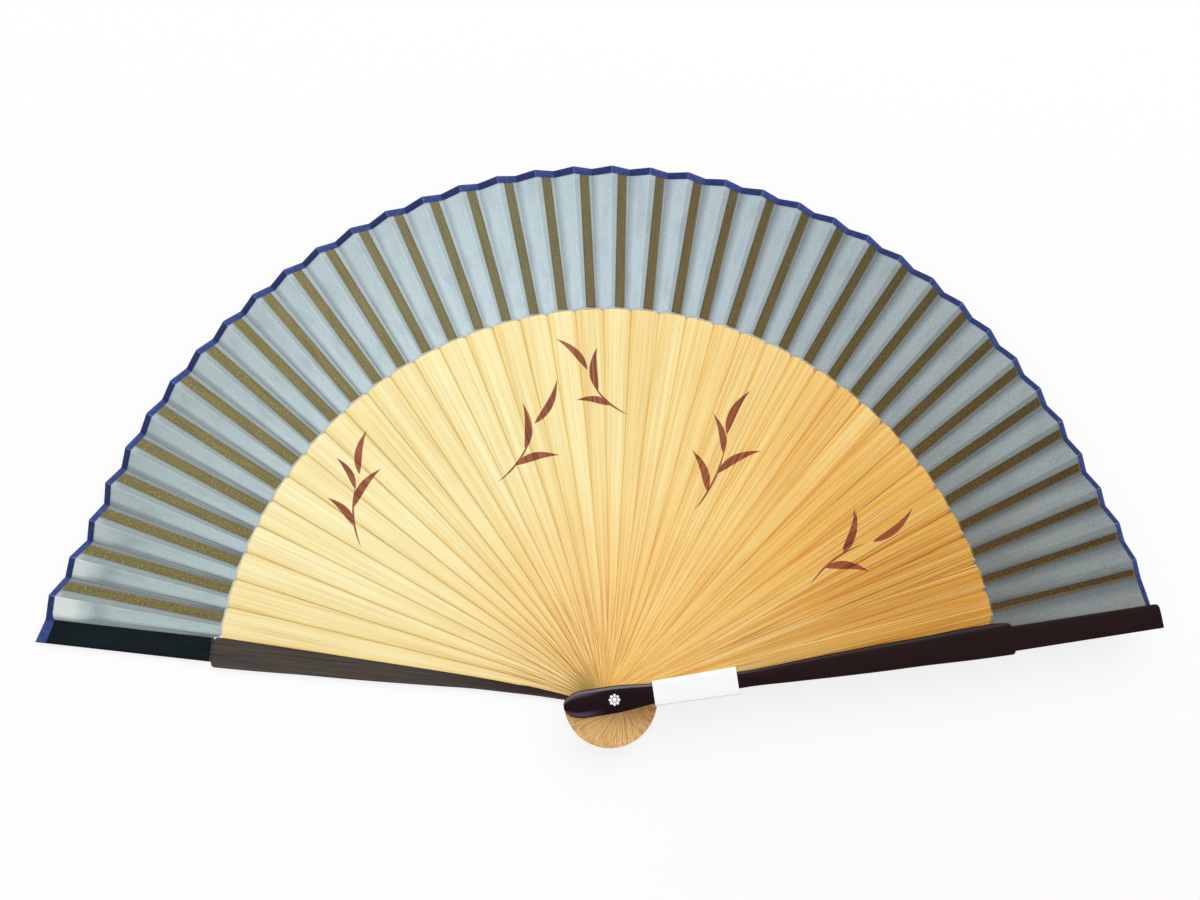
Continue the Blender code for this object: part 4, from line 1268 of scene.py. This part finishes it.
def band():
    """A folded paper sleeve with soft corners, a little wider than the guard inside it."""
    start, end, thick = BAND_START, BAND_END, BAND_THICK
    low, high = FRONT_LOW - BAND_ROOM, FAN_TOP + BAND_ROOM
    near = FRONT_GUARD_HALF * float(FRONT_WIDTH(start / FRONT_STEP)) + NEAR_SLACK
    far = FRONT_GUARD_HALF * float(FRONT_WIDTH(end / FRONT_STEP)) + FAR_SLACK
    along = np.linspace(start, end, 15)
    half = np.interp(along, [start, end], [near, far])

    def loop(half_width, bottom, top, corner):
        found = []
        for cx, cz, first in ((1, 0, -90), (1, 1, 0), (-1, 1, 90), (-1, 0, 180)):
            for turn in np.radians([first, first + 30, first + 60, first + 90]):
                x = cx * (half_width - corner) + corner * math.cos(turn)
                z = (top - corner if cz else bottom + corner) + corner * math.sin(turn)
                found.append((x, z))
            if cz and cx > 0:
                found += [(half_width * s, top + 0.00003) for s in (0.5, 0.0, -0.5)]
        return found

    outside = [loop(h + thick, low - thick, high + thick, BAND_CORNER + thick) for h in half]
    inside = [loop(h, low, high, BAND_CORNER) for h in half]
    sides = len(outside[0])
    rings = np.array(outside + inside[::-1])
    where = np.concatenate([along, along[::-1]])
    points = on_stick(FRONT_ANGLE, rings[:, :, 0], where[:, None], rings[:, :, 1]).reshape(-1, 3)
    obj = make_object("paper_sleeve", points, tube_faces(len(where), sides, closed=True), [PAPER])
    sharpen(obj, 50)
    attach(obj, "band_body")
    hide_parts("paper_band")
    return obj


band()

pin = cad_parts["pivot_pin"]
for i in range(len(pin.material_slots)):
    pin.material_slots[i].material = PIN_METAL

# ---- floor, light and camera
# The table's half width and height, the ambient light, and the key lamp's place, size and power
FLOOR_HALF = 2.0
FLOOR_HEIGHT = -0.00002
AMBIENT = 0.54
KEY_OFFSET = (0.10, 1.18, 1.78)
KEY_SIZE = 2.2
KEY_POWER = 31.0
corners = [(x * FLOOR_HALF, y * FLOOR_HALF, FLOOR_HEIGHT) for x, y in ((-1, -1), (1, -1), (1, 1), (-1, 1))]
floor = make_object("table_top", corners, [(0, 1, 2, 3)], [floor_material()], smooth=False)

scene = bpy.context.scene
scene.view_settings.view_transform = "Standard"
world = bpy.data.worlds.new("studio")
scene.world = world
world.use_nodes = True
tree = world.node_tree
tree.nodes.clear()
seen = add_node(tree, "Background", WHITE, 1.0)
ambient = add_node(tree, "Background", WHITE, AMBIENT)
choice = add_node(tree, "MixShader", seen_rays(tree), ambient.outputs[0], seen.outputs[0])
tree.links.new(choice.outputs[0], add_node(tree, "OutputWorld").inputs["Surface"])

middle = Vector((0, 0.09, 0))
key_data = bpy.data.lights.new("key", "AREA")
key_data.shape = "DISK"
key_data.size = KEY_SIZE
key_data.energy = KEY_POWER
key = bpy.data.objects.new("key", key_data)
scene.collection.objects.link(key)
key.location = middle + Vector(KEY_OFFSET)
key.rotation_euler = (middle - key.location).to_track_quat("-Z", "Y").to_euler()

# The camera's tilts in degrees, its distance, its focal length in pixels of the photo, and its roll
TILT_X, TILT_Y, DISTANCE, FOCAL = 5.13205, 5.09038, 0.6, 1695.03
IMAGE_WIDTH, SENSOR = 1200, 36.0
CAMERA_ROLL = -0.00466
target = Vector((-0.00261, 0.08649, 0.0))
away = Vector((-math.sin(math.radians(TILT_X)), -math.sin(math.radians(TILT_Y)), 0))
away.z = math.sqrt(1 - away.x ** 2 - away.y ** 2)
level = (Vector((0, 1, 0)) - away * away.y).normalized()
sideways = level.cross(away)
rightward = sideways * math.cos(CAMERA_ROLL) + level * math.sin(CAMERA_ROLL)
upward = level * math.cos(CAMERA_ROLL) - sideways * math.sin(CAMERA_ROLL)
camera_data = bpy.data.cameras.new("camera")
camera_data.sensor_fit = "HORIZONTAL"
camera_data.sensor_width = SENSOR
camera_data.lens = FOCAL / IMAGE_WIDTH * SENSOR
camera_data.clip_start = 0.01
camera = bpy.data.objects.new("camera", camera_data)
scene.collection.objects.link(camera)
turn = Matrix((rightward, upward, away)).transposed().to_4x4()
turn.translation = target + away * DISTANCE
camera.matrix_world = turn
scene.camera = camera
